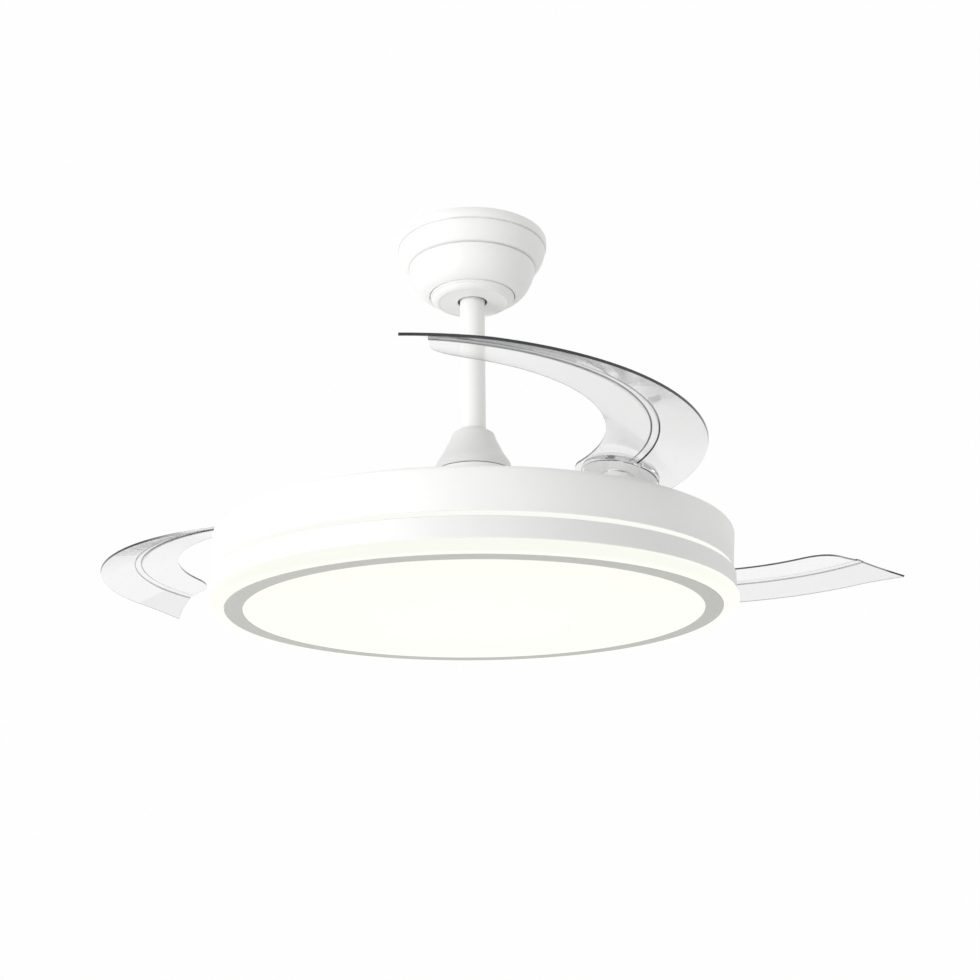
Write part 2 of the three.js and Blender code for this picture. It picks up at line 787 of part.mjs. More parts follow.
// Distance of the crease from the fan's axis: drawn inwards at the root, level from there to the tip.
function creaseAt(angle) {
  const nearRoot = Math.max(0, 1 - Math.max(0, -angle) / creaseShiftSweep);
  return creaseRadius - creaseShift * nearRoot ** 1.3;
}

// How far the outer edge droops at an angle along the blade.
function droopAt(angle) {
  const share = (-angle / bladeSweep - flareStart) / (1 - flareStart);
  return tipDroop * THREE.MathUtils.clamp(share, 0, 1);
}

// Height of the blade's middle surface above the crease, at a distance from the fan's axis.
function bladeHeight(radius, angle) {
  const crease = creaseAt(angle);
  const innerSlope = (innerEdgeRise - creaseRise) / (crease - bladeInnerRadius);
  const outerSlope = (creaseRise - outerEdgeRise + droopAt(angle)) / (bladeOuterRadius - crease);
  return (crease - radius) * (radius < crease ? innerSlope : outerSlope);
}

// A shallow cone slice between two radii, closed at both ends, about a centre at the fan's axis.
function coneSlice(low, high, start, sweep, steps) {
  const half = bladeThickness / 2;
  const knee = creaseWidth / 2;
  const sectionAt = (a) => {
    const crease = creaseAt(a);
    const under = [[low, 0], [crease - knee, 0], [crease + knee, 0], [high, 0]];
    const over = [[high, 0], [crease + knee, half], [crease - knee, half], [low, 0]];
    return [
      ...under.map(([r]) => [r, bladeHeight(r, a) - half]),
      ...over.map(([r, lift]) => [r, bladeHeight(r, a) + half + lift]),
    ];
  };
  const section = sectionAt(start);
  const vertices = [];
  for (let i = 0; i <= steps; i++) {
    const a = start + (sweep * i) / steps;
    for (const [r, z] of sectionAt(a)) vertices.push(r * Math.cos(a), r * Math.sin(a), z);
  }
  const n = section.length;
  const triangles = [];
  for (let i = 0; i < steps; i++) {
    for (let j = 0; j < n; j++) {
      const a = i * n + j;
      const b = i * n + ((j + 1) % n);
      triangles.push(a, b, a + n, b, b + n, a + n);
    }
  }
  const flatSection = section.map(([r, z]) => new THREE.Vector2(r, z));
  for (const [a, b, c] of THREE.ShapeUtils.triangulateShape(flatSection, [])) {
    triangles.push(a, c, b);
    triangles.push(steps * n + a, steps * n + b, steps * n + c);
  }
  const geometry = new THREE.BufferGeometry();
  geometry.setAttribute("position", new THREE.Float32BufferAttribute(vertices, 3));
  geometry.setIndex(triangles);
  return facingOut(geometry);
}

// The blade seen from above, folded, with the fan's axis at the origin and its pivot on +X:
// a crescent with a half-round root, a flared tip and a cut-back end.
function bladeShape() {
  const root = (bladeOuterRadius - bladeInnerRadius) / 2;
  const cornerAngle = -bladeSweep + endCut;
  const shape = new THREE.Shape();
  shape.absarc(pivotCircle, 0, root, Math.PI, 0, true);
  shape.absarc(0, 0, bladeOuterRadius, 0, -bladeSweep * flareStart, true);
  shape.quadraticCurveTo(
    ...polar(bladeOuterRadius, -bladeSweep * 0.94),
    ...polar(bladeOuterRadius + tipFlare, -bladeSweep),
  );
  shape.quadraticCurveTo(
    ...polar(bladeOuterRadius - 24, cornerAngle - endCut * 0.3),
    ...polar(bladeInnerRadius + 26, cornerAngle),
  );
  shape.quadraticCurveTo(
    ...polar(bladeInnerRadius, cornerAngle),
    ...polar(bladeInnerRadius, cornerAngle + 0.22),
  );
  shape.absarc(0, 0, bladeInnerRadius, cornerAngle + 0.22, 0, false);
  return shape;
}

// A disc tilted to the blade's pad, centred on the pivot.
function tiltedDisc(radius, low, high, segments) {
  return cylinder(radius, low, high, segments).rotateY(Math.atan(padSlope));
}

function buildBlade() {
  const depth = innerEdgeRise + 20;
  const margin = 8;
  const root = padRadius / pivotCircle;
  const start = root + 0.06;
  const slice = coneSlice(
    bladeInnerRadius - margin,
    bladeOuterRadius + margin,
    start,
    -(bladeSweep + start + 0.05),
    16,
  );
  const sheetBody = common(slice, extruded(bladeShape(), -depth, depth, 7));
  sheetBody.translate(-pivotCircle, 0, padSink);
  const pad = tiltedDisc(padRadius, -padThickness / 2, padThickness / 2, midSegments);
  const bore = cylinder(hubNeckRadius + fit, -2 * padThickness, 2 * padThickness, smallSegments);
  return cut(joined(sheetBody, pad), bore).translate(0, 0, padZ);
}

// A wedge of the hub flange that lets the stop through, from folded to fully out.
function stopNotch() {
  const halfWidth = Math.asin(stopRadius / stopDistance) + 0.8 / stopDistance;
  const low = Math.PI - foldAngle - halfWidth;
  const high = Math.PI + halfWidth;
  const shape = new THREE.Shape();
  const inner = stopDistance - stopRadius - 0.8;
  shape.absarc(0, 0, inner, low, high, false);
  shape.absarc(0, 0, hubFlangeRadius + 5, high, low, true);
  return extruded(shape, hubFlangeZ - 1, hubFlangeZ + hubFlangeHeight + 1, 6);
}

function buildHub() {
  const flangeTop = hubFlangeZ + hubFlangeHeight;
  const flange = cut(cylinder(hubFlangeRadius, hubFlangeZ, flangeTop, midSegments), stopNotch());
  const barrel = cylinder(hubBarrelRadius, hubFlangeZ + 0.5, padZ, smallSegments);
  const above = tiltedDisc(2 * hubFlangeRadius, -padThickness / 2 - fit, 2 * hubFlangeRadius, 8);
  const neck = cylinder(hubNeckRadius, hubFlangeZ + 0.5, hubNeckTopZ, smallSegments);
  const solid = joined(flange, cut(barrel, above.translate(0, 0, padZ)), neck);
  const bore = pivotRadius + hubBoreClearance;
  return cut(solid, cylinder(bore, hubFlangeZ - 1, hubNeckTopZ + 1, smallSegments));
}

function buildClamp() {
  const low = padThickness / 2 + fit;
  const disc = tiltedDisc(clampRadius, low, low + clampHeight, midSegments);
  const bore = cylinder(hubNeckRadius + 1.5, -20, 20, smallSegments);
  return cut(disc, bore).translate(0, 0, padZ);
}

function buildBlades() {
  const post = buildPivotPost();
  const pivotScrew = buildPivotScrew();
  const stop = buildStopPost();
  const spring = buildSpring();
  const hub = buildHub();
  const blade = buildBlade();
  const clamp = buildClamp();
  for (let i = 0; i < bladeCount; i++) {
    const angle = pivotAngle(i);
    const [x, y] = polar(pivotCircle, angle);
    const station = new THREE.Group();
    station.position.set(x, y, 0);
    station.rotation.z = angle;
    fan.add(station);
    const n = i + 1;
    place(`pivot_post_${n}`, post, steel, station);
    place(`pivot_screw_${n}`, pivotScrew, zincSteel, station);
    place(`stop_post_${n}`, stop, steel, station).position.set(...stopPoint, 0);
    place(`blade_spring_${n}`, spring, springSteel, station);
    const swing = new THREE.Group();
    swing.rotation.z = foldAngle - (i === 0 ? 0 : heldBack);
    station.add(swing);
    place(`blade_hub_${n}`, hub, whitePlastic, swing);
    place(`blade_${n}`, blade, clearPlastic, swing);
    place(`hub_clamp_${n}`, clamp, whitePlastic, swing);
  }
}

// ---------------------------------------------------------------- lamp

// Heights in these outlines are above the lamp's face.
function lampRing(name, outline, material) {
  place(name, turned(outline.map(([r, h]) => [r, faceZ + h]), drumSegments), material);
}

function buildLamp() {
  const deckUnder = deckHeight - sheet;
  const skirtFoot = bandFootHeight;
  lampRing(
    "lamp_chassis",
    [[shaftRadius + fit, deckHeight], [chassisRadius, deckHeight], [chassisRadius, deckUnder],
      [skirtRadius, deckUnder], [skirtRadius, skirtFoot], [skirtRadius - sheet, skirtFoot],
      [skirtRadius - sheet, deckUnder], [shaftRadius + fit, deckUnder]],
    whitePaint,
  );
  const shellInside = chassisRadius + fit;
  lampRing(
    "drum_shell",
    [[drumWaistRadius, shellFootHeight], [drumRadius, rimHeight - 4], [drumRadius - 0.6, rimHeight - 1.2],
      [drumRadius - 2, rimHeight], [shellInside, rimHeight], [shellInside, deckUnder - fit],
      [skirtRadius + 3, deckUnder - fit], [skirtRadius + 3, deckUnder - fit - sheet],
      [drumWaistRadius - drumWall, deckUnder - fit - sheet], [drumWaistRadius - drumWall, shellFootHeight]],
    whitePaint,
  );
  const seat = skirtRadius + fit;
  const stripTop = shellFootHeight - fit;
  const stripFoot = stripTop - stripHeight;
  const stripOuter = drumWaistRadius - 0.3;
  lampRing(
    "light_strip",
    [[seat, stripFoot], [stripOuter, stripFoot], [stripOuter, stripTop], [seat, stripTop]],
    glowPlastic,
  );
  const bandTop = stripFoot - fit;
  lampRing(
    "white_band",
    [[seat, bandTop], [bandRadius, bandTop], [bandRadius, bandFootHeight],
      [bandRadius - bandWall, bandFootHeight], [bandRadius - bandWall, bandTop - bandWall],
      [seat, bandTop - bandWall]],
    whitePaint,
  );
  const glowTop = bandFootHeight - fit;
  const greySeat = greyOuterRadius + slack;
  const wall = 2;
  lampRing(
    "glow_ring",
    [[greySeat, 0], [glowRadius - 7, 0], [glowRadius - 3.6, 0.8], [glowRadius - 1, 3],
      [glowRadius, 6], [glowRadius - 1, glowTop], [seat, glowTop], [seat, glowTop - wall],
      [glowRadius - 3.2, glowTop - wall], [glowRadius - 6, wall], [greySeat, wall]],
    glowPlastic,
  );
  const upstand = skirtRadius - sheet - fit;
  lampRing(
    "grey_trim_ring",
    [[greyInnerRadius, 0], [greyOuterRadius, 0], [greyOuterRadius, wall + slack],
      [upstand, skirtFoot], [upstand, skirtFoot + 6], [upstand - sheet, skirtFoot + 6],
      [greyOuterRadius - 3, sheet], [greyInnerRadius, sheet]],
    greyPaint,
  );
  const lip = sheet + fit;
  const panel = greyInnerRadius - fit;
  lampRing(
    "bottom_diffuser",
    [[0, 0], [panel, 0], [panel, lip], [panel + diffuserLip, lip], [panel + diffuserLip, diffuserThickness],
      [0, diffuserThickness]],
    glowPlastic,
  );
  buildLampInside();
}

function buildLampInside() {
  const under = deckBottomZ - fit;
  const boardTop = faceZ + boardHeight + sheet;
  const board = tube(boardRadius, boardHoleRadius, boardTop - sheet, boardTop, drumSegments);
  place("led_board", board, boardWhite);
  for (let i = 0; i < 3; i++) {
    const [x, y] = polar(spacerCircle, Math.PI / 2 + (i * 2 * Math.PI) / 3);
    const spacer = cylinder(spacerRadius, boardTop + fit, under, pinSegments);
    place(`board_spacer_${i + 1}`, spacer, zincSteel).position.set(x, y, 0);
  }
  const driver = box(driverSize.x, driverSize.y, under - driverSize.z, under);
  place("led_driver", driver, whitePlastic).position.x = driverOffset;
  const receiver = box(receiverSize.x, receiverSize.y, under - receiverSize.z, under);
  place("remote_receiver", receiver, whitePlastic).position.x = -receiverOffset;
  const nut = cylinder(nutRadius, under - nutHeight, under, 6);
  const thread = cylinder(shaftRadius + fit, under - nutHeight - 1, under + 1, smallSegments);
  place("shaft_nut", cut(nut, thread), zincSteel);
}

buildBracket();
buildCanopy();
buildDownrod();
buildBell();
buildShaft();
buildStator();
buildRotor();
buildCarrier();
buildBlades();
buildLamp();

export default fan;
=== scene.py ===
"""Studio scene of a white ceiling fan with three clear folding blades over a lit drum lamp.

Everything is in metres in the part's own frame: the origin is on the ceiling at the middle of the
bracket, +Z is up and the viewer stands on the -Y side, a little below the lamp. Sizes in the classes
are millimetres, and heights marked "above the face" are measured up from the underside of the lamp.
"""

import logging
import math
from collections.abc import Iterator, Sequence
from contextlib import contextmanager
from dataclasses import dataclass
from enum import Enum
from typing import Any, ClassVar

import bpy
from mathutils import Matrix, Vector


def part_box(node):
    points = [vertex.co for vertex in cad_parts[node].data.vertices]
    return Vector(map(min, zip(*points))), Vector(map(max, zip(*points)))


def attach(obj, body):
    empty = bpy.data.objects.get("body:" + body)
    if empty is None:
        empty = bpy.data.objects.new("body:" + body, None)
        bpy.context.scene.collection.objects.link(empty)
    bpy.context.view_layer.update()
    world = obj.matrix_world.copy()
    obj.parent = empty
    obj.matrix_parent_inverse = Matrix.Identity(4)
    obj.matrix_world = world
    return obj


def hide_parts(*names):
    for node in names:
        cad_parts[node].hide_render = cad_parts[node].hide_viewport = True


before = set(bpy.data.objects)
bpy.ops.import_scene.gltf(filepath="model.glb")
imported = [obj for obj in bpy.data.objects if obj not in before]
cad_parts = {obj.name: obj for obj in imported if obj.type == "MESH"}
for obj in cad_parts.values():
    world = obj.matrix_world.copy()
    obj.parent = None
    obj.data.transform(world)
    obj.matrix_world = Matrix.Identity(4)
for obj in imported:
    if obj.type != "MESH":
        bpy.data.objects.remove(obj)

LOG = logging.getLogger("ceiling_fan")
Outline = list[tuple[float, float]]
WELD = 1e-6  # m, how close points have to be to become one


class Body(Enum):
    """The bodies of the model that a piece can ride on."""

    CEILING = "ceiling"
    HANGING = "hanging"
    ROTOR = "rotor"
    ARM_1 = "blade_arm_1"
    ARM_2 = "blade_arm_2"
    ARM_3 = "blade_arm_3"


ARMS = (Body.ARM_1, Body.ARM_2, Body.ARM_3)


# ---------------------------------------------------------------- small tools


def mm(value: float) -> float:
    """Millimetres as metres."""
    return value * 0.001


def linear(colour: str) -> tuple[float, float, float, float]:
    """Turns an sRGB hex colour to linear light.

    Args:
        colour: The colour as "#RRGGBB".

    Returns:
        Red, green, blue and a full alpha.
    """
    channels = []
    for start in (1, 3, 5):
        value = int(colour[start : start + 2], 16) / 255
        channels.append(value / 12.92 if value <= 0.04045 else ((value + 0.055) / 1.055) ** 2.4)
    return (channels[0], channels[1], channels[2], 1.0)


def add_node(
    tree: bpy.types.NodeTree,
    kind: str,
    inputs: dict[str | int, Any] | None = None,
    **settings: Any,
) -> bpy.types.Node:
    """Adds a shader node with its settings and links.

    Args:
        tree: The node tree it goes into.
        kind: The node's type.
        inputs: A value or a source socket for each named input.
        **settings: The node's own properties.

    Returns:
        The new node.
    """
    node = tree.nodes.new(kind)
    for name, value in settings.items():
        setattr(node, name, value)
    for socket, value in (inputs or {}).items():
        if isinstance(value, bpy.types.NodeSocket):
            tree.links.new(value, node.inputs[socket])
        else:
            node.inputs[socket].default_value = value
    return node


def deselect_all() -> None:
    """Leaves edit mode and selects nothing."""
    if bpy.context.object and bpy.context.object.mode != "OBJECT":
        bpy.ops.object.mode_set(mode="OBJECT")
    bpy.ops.object.select_all(action="DESELECT")


def choose(piece: bpy.types.Object) -> None:
    """Makes a piece the only selected and the active one."""
    deselect_all()
    piece.select_set(True)
    bpy.context.view_layer.objects.active = piece


def place_in_mesh(piece: bpy.types.Object) -> None:
    """Moves a piece's place into its mesh, so that its object sits at the origin."""
    choose(piece)
    bpy.ops.object.transform_apply(location=True, rotation=True, scale=True)


@contextmanager
def editing(piece: bpy.types.Object) -> Iterator[None]:
    """Holds a piece in edit mode with all of it selected, and turns its faces outwards at the end."""
    choose(piece)
    bpy.ops.object.mode_set(mode="EDIT")
    bpy.ops.mesh.select_all(action="SELECT")
    yield
    bpy.ops.mesh.select_all(action="SELECT")
    bpy.ops.mesh.normals_make_consistent(inside=False)
    bpy.ops.object.mode_set(mode="OBJECT")


def apply_modifier(piece: bpy.types.Object, kind: str, **settings: Any) -> None:
    """Adds a modifier with its settings and applies it.

    Args:
        piece: The piece to change.
        kind: The modifier's type.
        **settings: The modifier's own properties.
    """
    modifier = piece.modifiers.new(kind.lower(), kind)
    for name, value in settings.items():
        setattr(modifier, name, value)
    choose(piece)
    bpy.ops.object.modifier_apply(modifier=modifier.name)


def soften(piece: bpy.types.Object, width: float, segments: int = 2) -> None:
    """Rounds a piece's sharp edges.

    Args:
        piece: The piece to change.
        width: The rounding's width in millimetres.
        segments: The faces across the rounding.
    """
    apply_modifier(
        piece,
        "BEVEL",
        width=mm(width),
        segments=segments,
        limit_method="ANGLE",
        angle_limit=math.radians(38),
    )


def shade(piece: bpy.types.Object, angle: float = 32) -> None:
    """Shades a piece smooth where its faces meet at less than an angle in degrees."""
    choose(piece)
    bpy.ops.object.shade_smooth_by_angle(angle=math.radians(angle))


def combine(piece: bpy.types.Object, other: bpy.types.Object, operation: str) -> None:
    """Joins, cuts or trims a piece with another, which is used up.

    Args:
        piece: The piece that stays.
        other: The piece that is added or taken away.
        operation: UNION, DIFFERENCE or INTERSECT.
    """
    apply_modifier(piece, "BOOLEAN", object=other, operation=operation, solver="EXACT")
    bpy.data.objects.remove(other)


def copied(piece: bpy.types.Object, name: str, place: Matrix) -> bpy.types.Object:
    """Copies a piece with its own mesh to another place.

    Args:
        piece: The piece to copy.
        name: The copy's name.
        place: Where the copy goes.

    Returns:
        The copy, with its place in its mesh.
    """
    choose(piece)
    bpy.ops.object.duplicate(linked=False)
    copy = bpy.context.object
    copy.name = name
    copy.data.name = name
    copy.matrix_world = place @ copy.matrix_world
    place_in_mesh(copy)
    return copy


def smooth(points: Sequence[tuple[float, float]], steps: int = 4) -> Outline:
    """Lays a rounded line through a few points.

    Args:
        points: The points that it passes through.
        steps: The stretches between one point and the next.

    Returns:
        The line's points, with both ends.
    """
    line: Outline = []
    for i in range(len(points) - 1):
        a = Vector(points[max(i - 1, 0)])
        b, c = Vector(points[i]), Vector(points[i + 1])
        d = Vector(points[min(i + 2, len(points) - 1)])
        for k in range(steps):
            t = k / steps
            p = b * 2 + (c - a) * t + (a * 2 - b * 5 + c * 4 - d) * t**2 + (b * 3 - a - c * 3 + d) * t**3
            line.append((p.x / 2, p.y / 2))
    line.append(tuple(points[-1]))
    return line


def raised(outline: Outline, base: float) -> Outline:
    """An outline whose heights are measured from a base, put at that base."""
    return [(radius, base + height) for radius, height in outline]


def turned(name: str, outline: Outline, segments: int = 144, edge: float = 0.0) -> bpy.types.Object:
    """Turns an outline round the downrod's axis, as on a lathe: one ring is extruded and scaled along it.

    Args:
        name: The piece's name.
        outline: The radius and height of each ring, as a closed loop, or from the axis back to the axis.
        segments: The sides round the axis.
        edge: The rounding of sharp edges, in millimetres.

    Returns:
        The closed piece.
    """
    deselect_all()
    rings = [point for point in outline if point[0] > 0]
    solid = len(rings) < len(outline)
    radius, height = rings[0]
    bpy.ops.mesh.primitive_circle_add(
        vertices=segments, radius=mm(radius), fill_type="NOTHING", location=(0, 0, mm(height))
    )
    piece = bpy.context.object
    piece.name = name
    piece.data.name = name
    place_in_mesh(piece)
    with editing(piece):
        bpy.ops.mesh.select_mode(type="EDGE")
        bpy.ops.mesh.select_all(action="SELECT")
        for wide, high in rings[1:] if solid else rings[1:] + rings[:1]:
            bpy.ops.mesh.extrude_region_move(TRANSFORM_OT_translate={"value": (0, 0, mm(high - height))})
            scale = wide / radius
            if abs(scale - 1) > 1e-9:
                bpy.ops.transform.resize(value=(scale, scale, 1), center_override=(0, 0, mm(high)))
            radius, height = wide, high
        bpy.ops.mesh.select_all(action="SELECT")
        if solid:
            bpy.ops.mesh.fill_holes(sides=0)
        else:
            bpy.ops.mesh.remove_doubles(threshold=WELD)
    if edge > 0:
        soften(piece, edge)
    shade(piece)
    return piece


def peg(name: str, radius: float, low: float, high: float, segments: int = 32) -> bpy.types.Object:
    """A plain round peg, used as a tool to cut holes.

    Args:
        name: The peg's name.
        radius: Its radius in millimetres.
        low: Its lower end in millimetres.
        high: Its upper end in millimetres.
        segments: The sides round it.

    Returns:
        The peg.
    """
    return turned(name, [(0, low), (radius, low), (radius, high), (0, high)], segments)


def dress(
    piece: bpy.types.Object,
    body: Body,
    finish: "Finish",
    nodes: Sequence[str] = (),
) -> bpy.types.Object:
    """Gives a piece its finish and body, and says which nodes it stands for.

    Args:
        piece: The finished piece.
        body: The body that it rides on.
        finish: Its finish.
        nodes: The model's nodes that it replaces.

    Returns:
        The piece.
    """
    if piece.data.materials:
        piece.data.materials[0] = finish.material()
    else:
        piece.data.materials.append(finish.material())
    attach(piece, body.value)
    if nodes:
        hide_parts(*nodes)
    LOG.info("%s rides on %s in %s", piece.name, body.value, finish.name)
    return piece


# ---------------------------------------------------------------- finishes


@dataclass(frozen=True)
class Draft:
    """A material while it is drawn."""

    tree: bpy.types.NodeTree
    shader: bpy.types.Node  # the surface's own shader
    where: bpy.types.NodeSocket  # the pattern's coordinates

    def add(self, kind: str, inputs: dict[str | int, Any] | None = None, **settings: Any) -> bpy.types.Node:
        """Adds a node to the tree, as add_node does."""
        return add_node(self.tree, kind, inputs, **settings)

    def feed(self, socket: str, source: bpy.types.NodeSocket) -> None:
        """Links a source to one of the shader's inputs."""
        self.tree.links.new(source, self.shader.inputs[socket])

    def noise(self, size: float, detail: float) -> bpy.types.NodeSocket:
        """A soft noise with its grain in millimetres and its number of finer layers."""
        inputs = {"Vector": self.where, "Scale": 1 / mm(size), "Detail": detail, "Roughness": 0.5}
        return self.add("ShaderNodeTexNoise", inputs).outputs["Fac"]

    def slope(
        self,
        value: bpy.types.NodeSocket,
        span: tuple[float, float],
        ends: tuple[float, float] = (0.0, 1.0),
        kind: str = "SMOOTHSTEP",
    ) -> bpy.types.NodeSocket:
        """A change from one value to another.

        Args:
            value: The value that it follows.
            span: Where the change starts and where it ends.
            ends: The value before the start and the value after the end.
            kind: How it changes between them.

        Returns:
            The socket that carries it.
        """
        sockets = ("Value", "From Min", "From Max", "To Min", "To Max")
        inputs = dict(zip(sockets, (value, *span, *ends)))
        return self.add("ShaderNodeMapRange", inputs, interpolation_type=kind).outputs["Result"]

    def colour_by(
        self, value: bpy.types.NodeSocket, stops: Sequence[tuple[float, Sequence[float]]]
    ) -> None:
        """Colours the surface by a value.

        Args:
            value: The value that the colour follows.
            stops: The two places on its way and the colour at each.
        """
        ramp = self.add("ShaderNodeValToRGB", {"Fac": value})
        for element, (place, colour) in zip(ramp.color_ramp.elements, stops):
            element.position = place
            element.color = colour
        self.feed("Base Color", ramp.outputs["Color"])

    def mixed(
        self, share: float | bpy.types.NodeSocket, other: bpy.types.Node
    ) -> bpy.types.NodeSocket:
        """Mixes the surface's shader with another.

        Args:
            share: How much of the other there is.
            other: The other shader.

        Returns:
            The socket that carries the mix.
        """
        inputs = {0: share, 1: self.shader.outputs["BSDF"], 2: other.outputs["BSDF"]}
        return self.add("ShaderNodeMixShader", inputs).outputs["Shader"]


@dataclass(frozen=True)
class Finish:
    """A surface: its colour and gloss, and the small unevenness of how it was made."""

    name: str
    slot: str
    colour: str
    roughness: float
    metallic: float = 0.0
    mottle: float = 0.015  # how much the colour drifts
    mottle_size: float = 60.0  # mm
    grain_size: float = 3.0  # mm
    grain_depth: float = 0.01  # mm
    gloss_drift: float = 0.03
    stretch: tuple[float, float, float] = (1.0, 1.0, 1.0)

    made: ClassVar[dict[str, bpy.types.Material]] = {}

    def material(self) -> bpy.types.Material:
        """The finish as a material, made once."""
        if self.name not in self.made:
            self.made[self.name] = self.build()
        return self.made[self.name]

    def build(self) -> bpy.types.Material:
        """Builds the material's nodes.

        Returns:
            The new material.
        """
        material = bpy.data.materials.new(self.name)
        material.use_nodes = True
        tree = material.node_tree
        tree.nodes.clear()
        place = add_node(tree, "ShaderNodeTexCoord").outputs["Object"]
        mapping = add_node(tree, "ShaderNodeMapping", {"Vector": place, "Scale": self.stretch})
        shader = add_node(tree, "ShaderNodeBsdfPrincipled", {"Metallic": self.metallic})
        draft = Draft(tree, shader, mapping.outputs["Vector"])
        self.paint(draft)
        self.polish(draft)
        self.extra(draft)
        draft.add("ShaderNodeOutputMaterial", {"Surface": self.surface(draft)})
        return material

    def paint(self, draft: Draft) -> None:
        """Lets the colour drift a little over the surface.

        Args:
            draft: The material being drawn.
        """
        base = linear(self.colour)
        stops = [
            (place, tuple(min(channel * amount, 1.0) for channel in base[:3]) + (1.0,))
            for place, amount in ((0.3, 1 - self.mottle), (0.7, 1 + self.mottle))
        ]
        draft.colour_by(draft.noise(self.mottle_size, 3.0), stops)

    def polish(self, draft: Draft) -> None:
        """Adds the grain and the drift in gloss.

        Args:
            draft: The material being drawn.
        """
        grain = draft.noise(self.grain_size, 2.0)
        ends = (max(self.roughness - self.gloss_drift, 0.0), min(self.roughness + self.gloss_drift, 1.0))
        draft.feed("Roughness", draft.slope(grain, (0.3, 0.7), ends, "LINEAR"))
        inputs = {"Height": grain, "Strength": 0.6, "Distance": mm(self.grain_depth)}
        draft.feed("Normal", draft.add("ShaderNodeBump", inputs).outputs["Normal"])

    def extra(self, draft: Draft) -> None:
        """What a special finish adds: nothing on a plain one."""

    def surface(self, draft: Draft) -> bpy.types.NodeSocket:
        """The socket that goes to the output: the plain shader on a plain finish.

        Args:
            draft: The material being drawn.

        Returns:
            The socket that carries the whole surface.
        """
        return draft.shader.outputs["BSDF"]


@dataclass(frozen=True)
class OpalAcrylic(Finish):
    """Extruded opal acrylic with the lamp's LEDs behind it, evenly lit and a touch dimmer to the rim."""

    glow: str = "#FEFDF5"
    centre_strength: float = 0.99
    rim_strength: float = 0.96
    rim_radius: float = 250.0

    def extra(self, draft: Draft) -> None:
        """Lights the surface from behind."""
        inputs = {0: draft.where, 1: (1.0, 1.0, 0.0)}
        flat = draft.add("ShaderNodeVectorMath", inputs, operation="MULTIPLY")
        reach = draft.add("ShaderNodeVectorMath", {0: flat.outputs["Vector"]}, operation="LENGTH")
        span = (0.0, mm(self.rim_radius))
        ends = (self.centre_strength, self.rim_strength)
        draft.feed("Emission Strength", draft.slope(reach.outputs["Value"], span, ends, "LINEAR"))
        draft.shader.inputs["Emission Color"].default_value = linear(self.glow)
        draft.shader.inputs["Specular IOR Level"].default_value = 0.1


@dataclass(frozen=True)
class ClearPolycarbonate(Finish):
    """Injection-moulded clear polycarbonate: glossy, and clear to the light that falls through it."""

    ior: float = 1.58
    clearness: float = 1.0

    def extra(self, draft: Draft) -> None:
        """Lets light through."""
        draft.shader.inputs["IOR"].default_value = self.ior
        draft.shader.inputs["Transmission Weight"].default_value = self.clearness

    def surface(self, draft: Draft) -> bpy.types.NodeSocket:
        """Lets the light that falls on the pieces behind pass straight through."""
        path = draft.add("ShaderNodeLightPath").outputs
        inputs = {0: path["Is Shadow Ray"], 1: path["Is Diffuse Ray"]}
        falling = draft.add("ShaderNodeMath", inputs, operation="MAXIMUM")
        straight = draft.add("ShaderNodeBsdfTransparent", {"Color": linear("#F6F6F6")})
        return draft.mixed(falling.outputs["Value"], straight)


@dataclass(frozen=True)
class BladePolycarbonate(ClearPolycarbonate):
    """The blade's clear sheet, with painted shade in its colour: darker where it is seen at a low angle,
    standing in for the dark of the room that it shows there.

    The blade's UV map runs along it from the root and across it from the inner edge.
    """

    # the colour of the painted shade that the sheet turns to at a low angle
    painted_dark: str = "#9A9B9C"
    root_end: float = 0.22  # how far along the sheet has none of the painted dark
    root_fade: float = 0.16  # over how much of the length it then comes in

    def along_and_across(self, draft: Draft) -> tuple[bpy.types.NodeSocket, bpy.types.NodeSocket]:
        """The two coordinates of the blade's UV map."""
        place = draft.add("ShaderNodeTexCoord").outputs["UV"]
        split = draft.add("ShaderNodeSeparateXYZ", {"Vector": place})
        return split.outputs["X"], split.outputs["Y"]

    def painted_darkness(self, draft: Draft) -> bpy.types.NodeSocket:
        """How much painted shade the sheet takes, from 0 to 1: most at a low angle, and not at all at the
        root.
        """
        along, _ = self.along_and_across(draft)
        past_root = draft.slope(along, (self.root_end, self.root_end + self.root_fade))
        facing = draft.add("ShaderNodeLayerWeight", {"Blend": 0.5}).outputs["Facing"]
        inputs = {0: draft.slope(facing, (0.74, 0.95), (0.08, 1.0)), 1: past_root}
        return draft.add("ShaderNodeMath", inputs, operation="MULTIPLY").outputs["Value"]

    def paint(self, draft: Draft) -> None:
        """Paints shade into the clear's colour, from the sheet's own colour to the painted dark."""
        draft.colour_by(self.painted_darkness(draft), ((0.0, linear(self.colour)), (1.0, linear(self.painted_dark))))


@dataclass(frozen=True)
class BladeEdge(BladePolycarbonate):
    """The sheet's rim and its ridge's flanks, painted dark as shade, standing in for the light that the clear
    carries sideways there.
    """

    # how much of the painted shade the inner edge takes
    inner_painted_dark: float = 0.8

    def painted_darkness(self, draft: Draft) -> bpy.types.NodeSocket:
        """Painted shade: darkest at the outer edge, paler at the inner one, and along the ridge paler to the
        tip.
        """
        along, across = self.along_and_across(draft)
        ridge = draft.slope(along, (0.35, 0.7), (1.0, 0.3))
        rim = draft.slope(along, (0.08, 0.26), (0.25, 1.0))
        dark = ridge
        for share, other in (
            (draft.slope(across, (0.72, 0.8)), rim),
            (draft.slope(across, (0.2, 0.28), (1.0, 0.0)), self.inner_painted_dark),
        ):
            inputs = {"Factor": share, "A": dark, "B": other}
            dark = draft.add("ShaderNodeMix", inputs, data_type="FLOAT").outputs["Result"]
        return dark


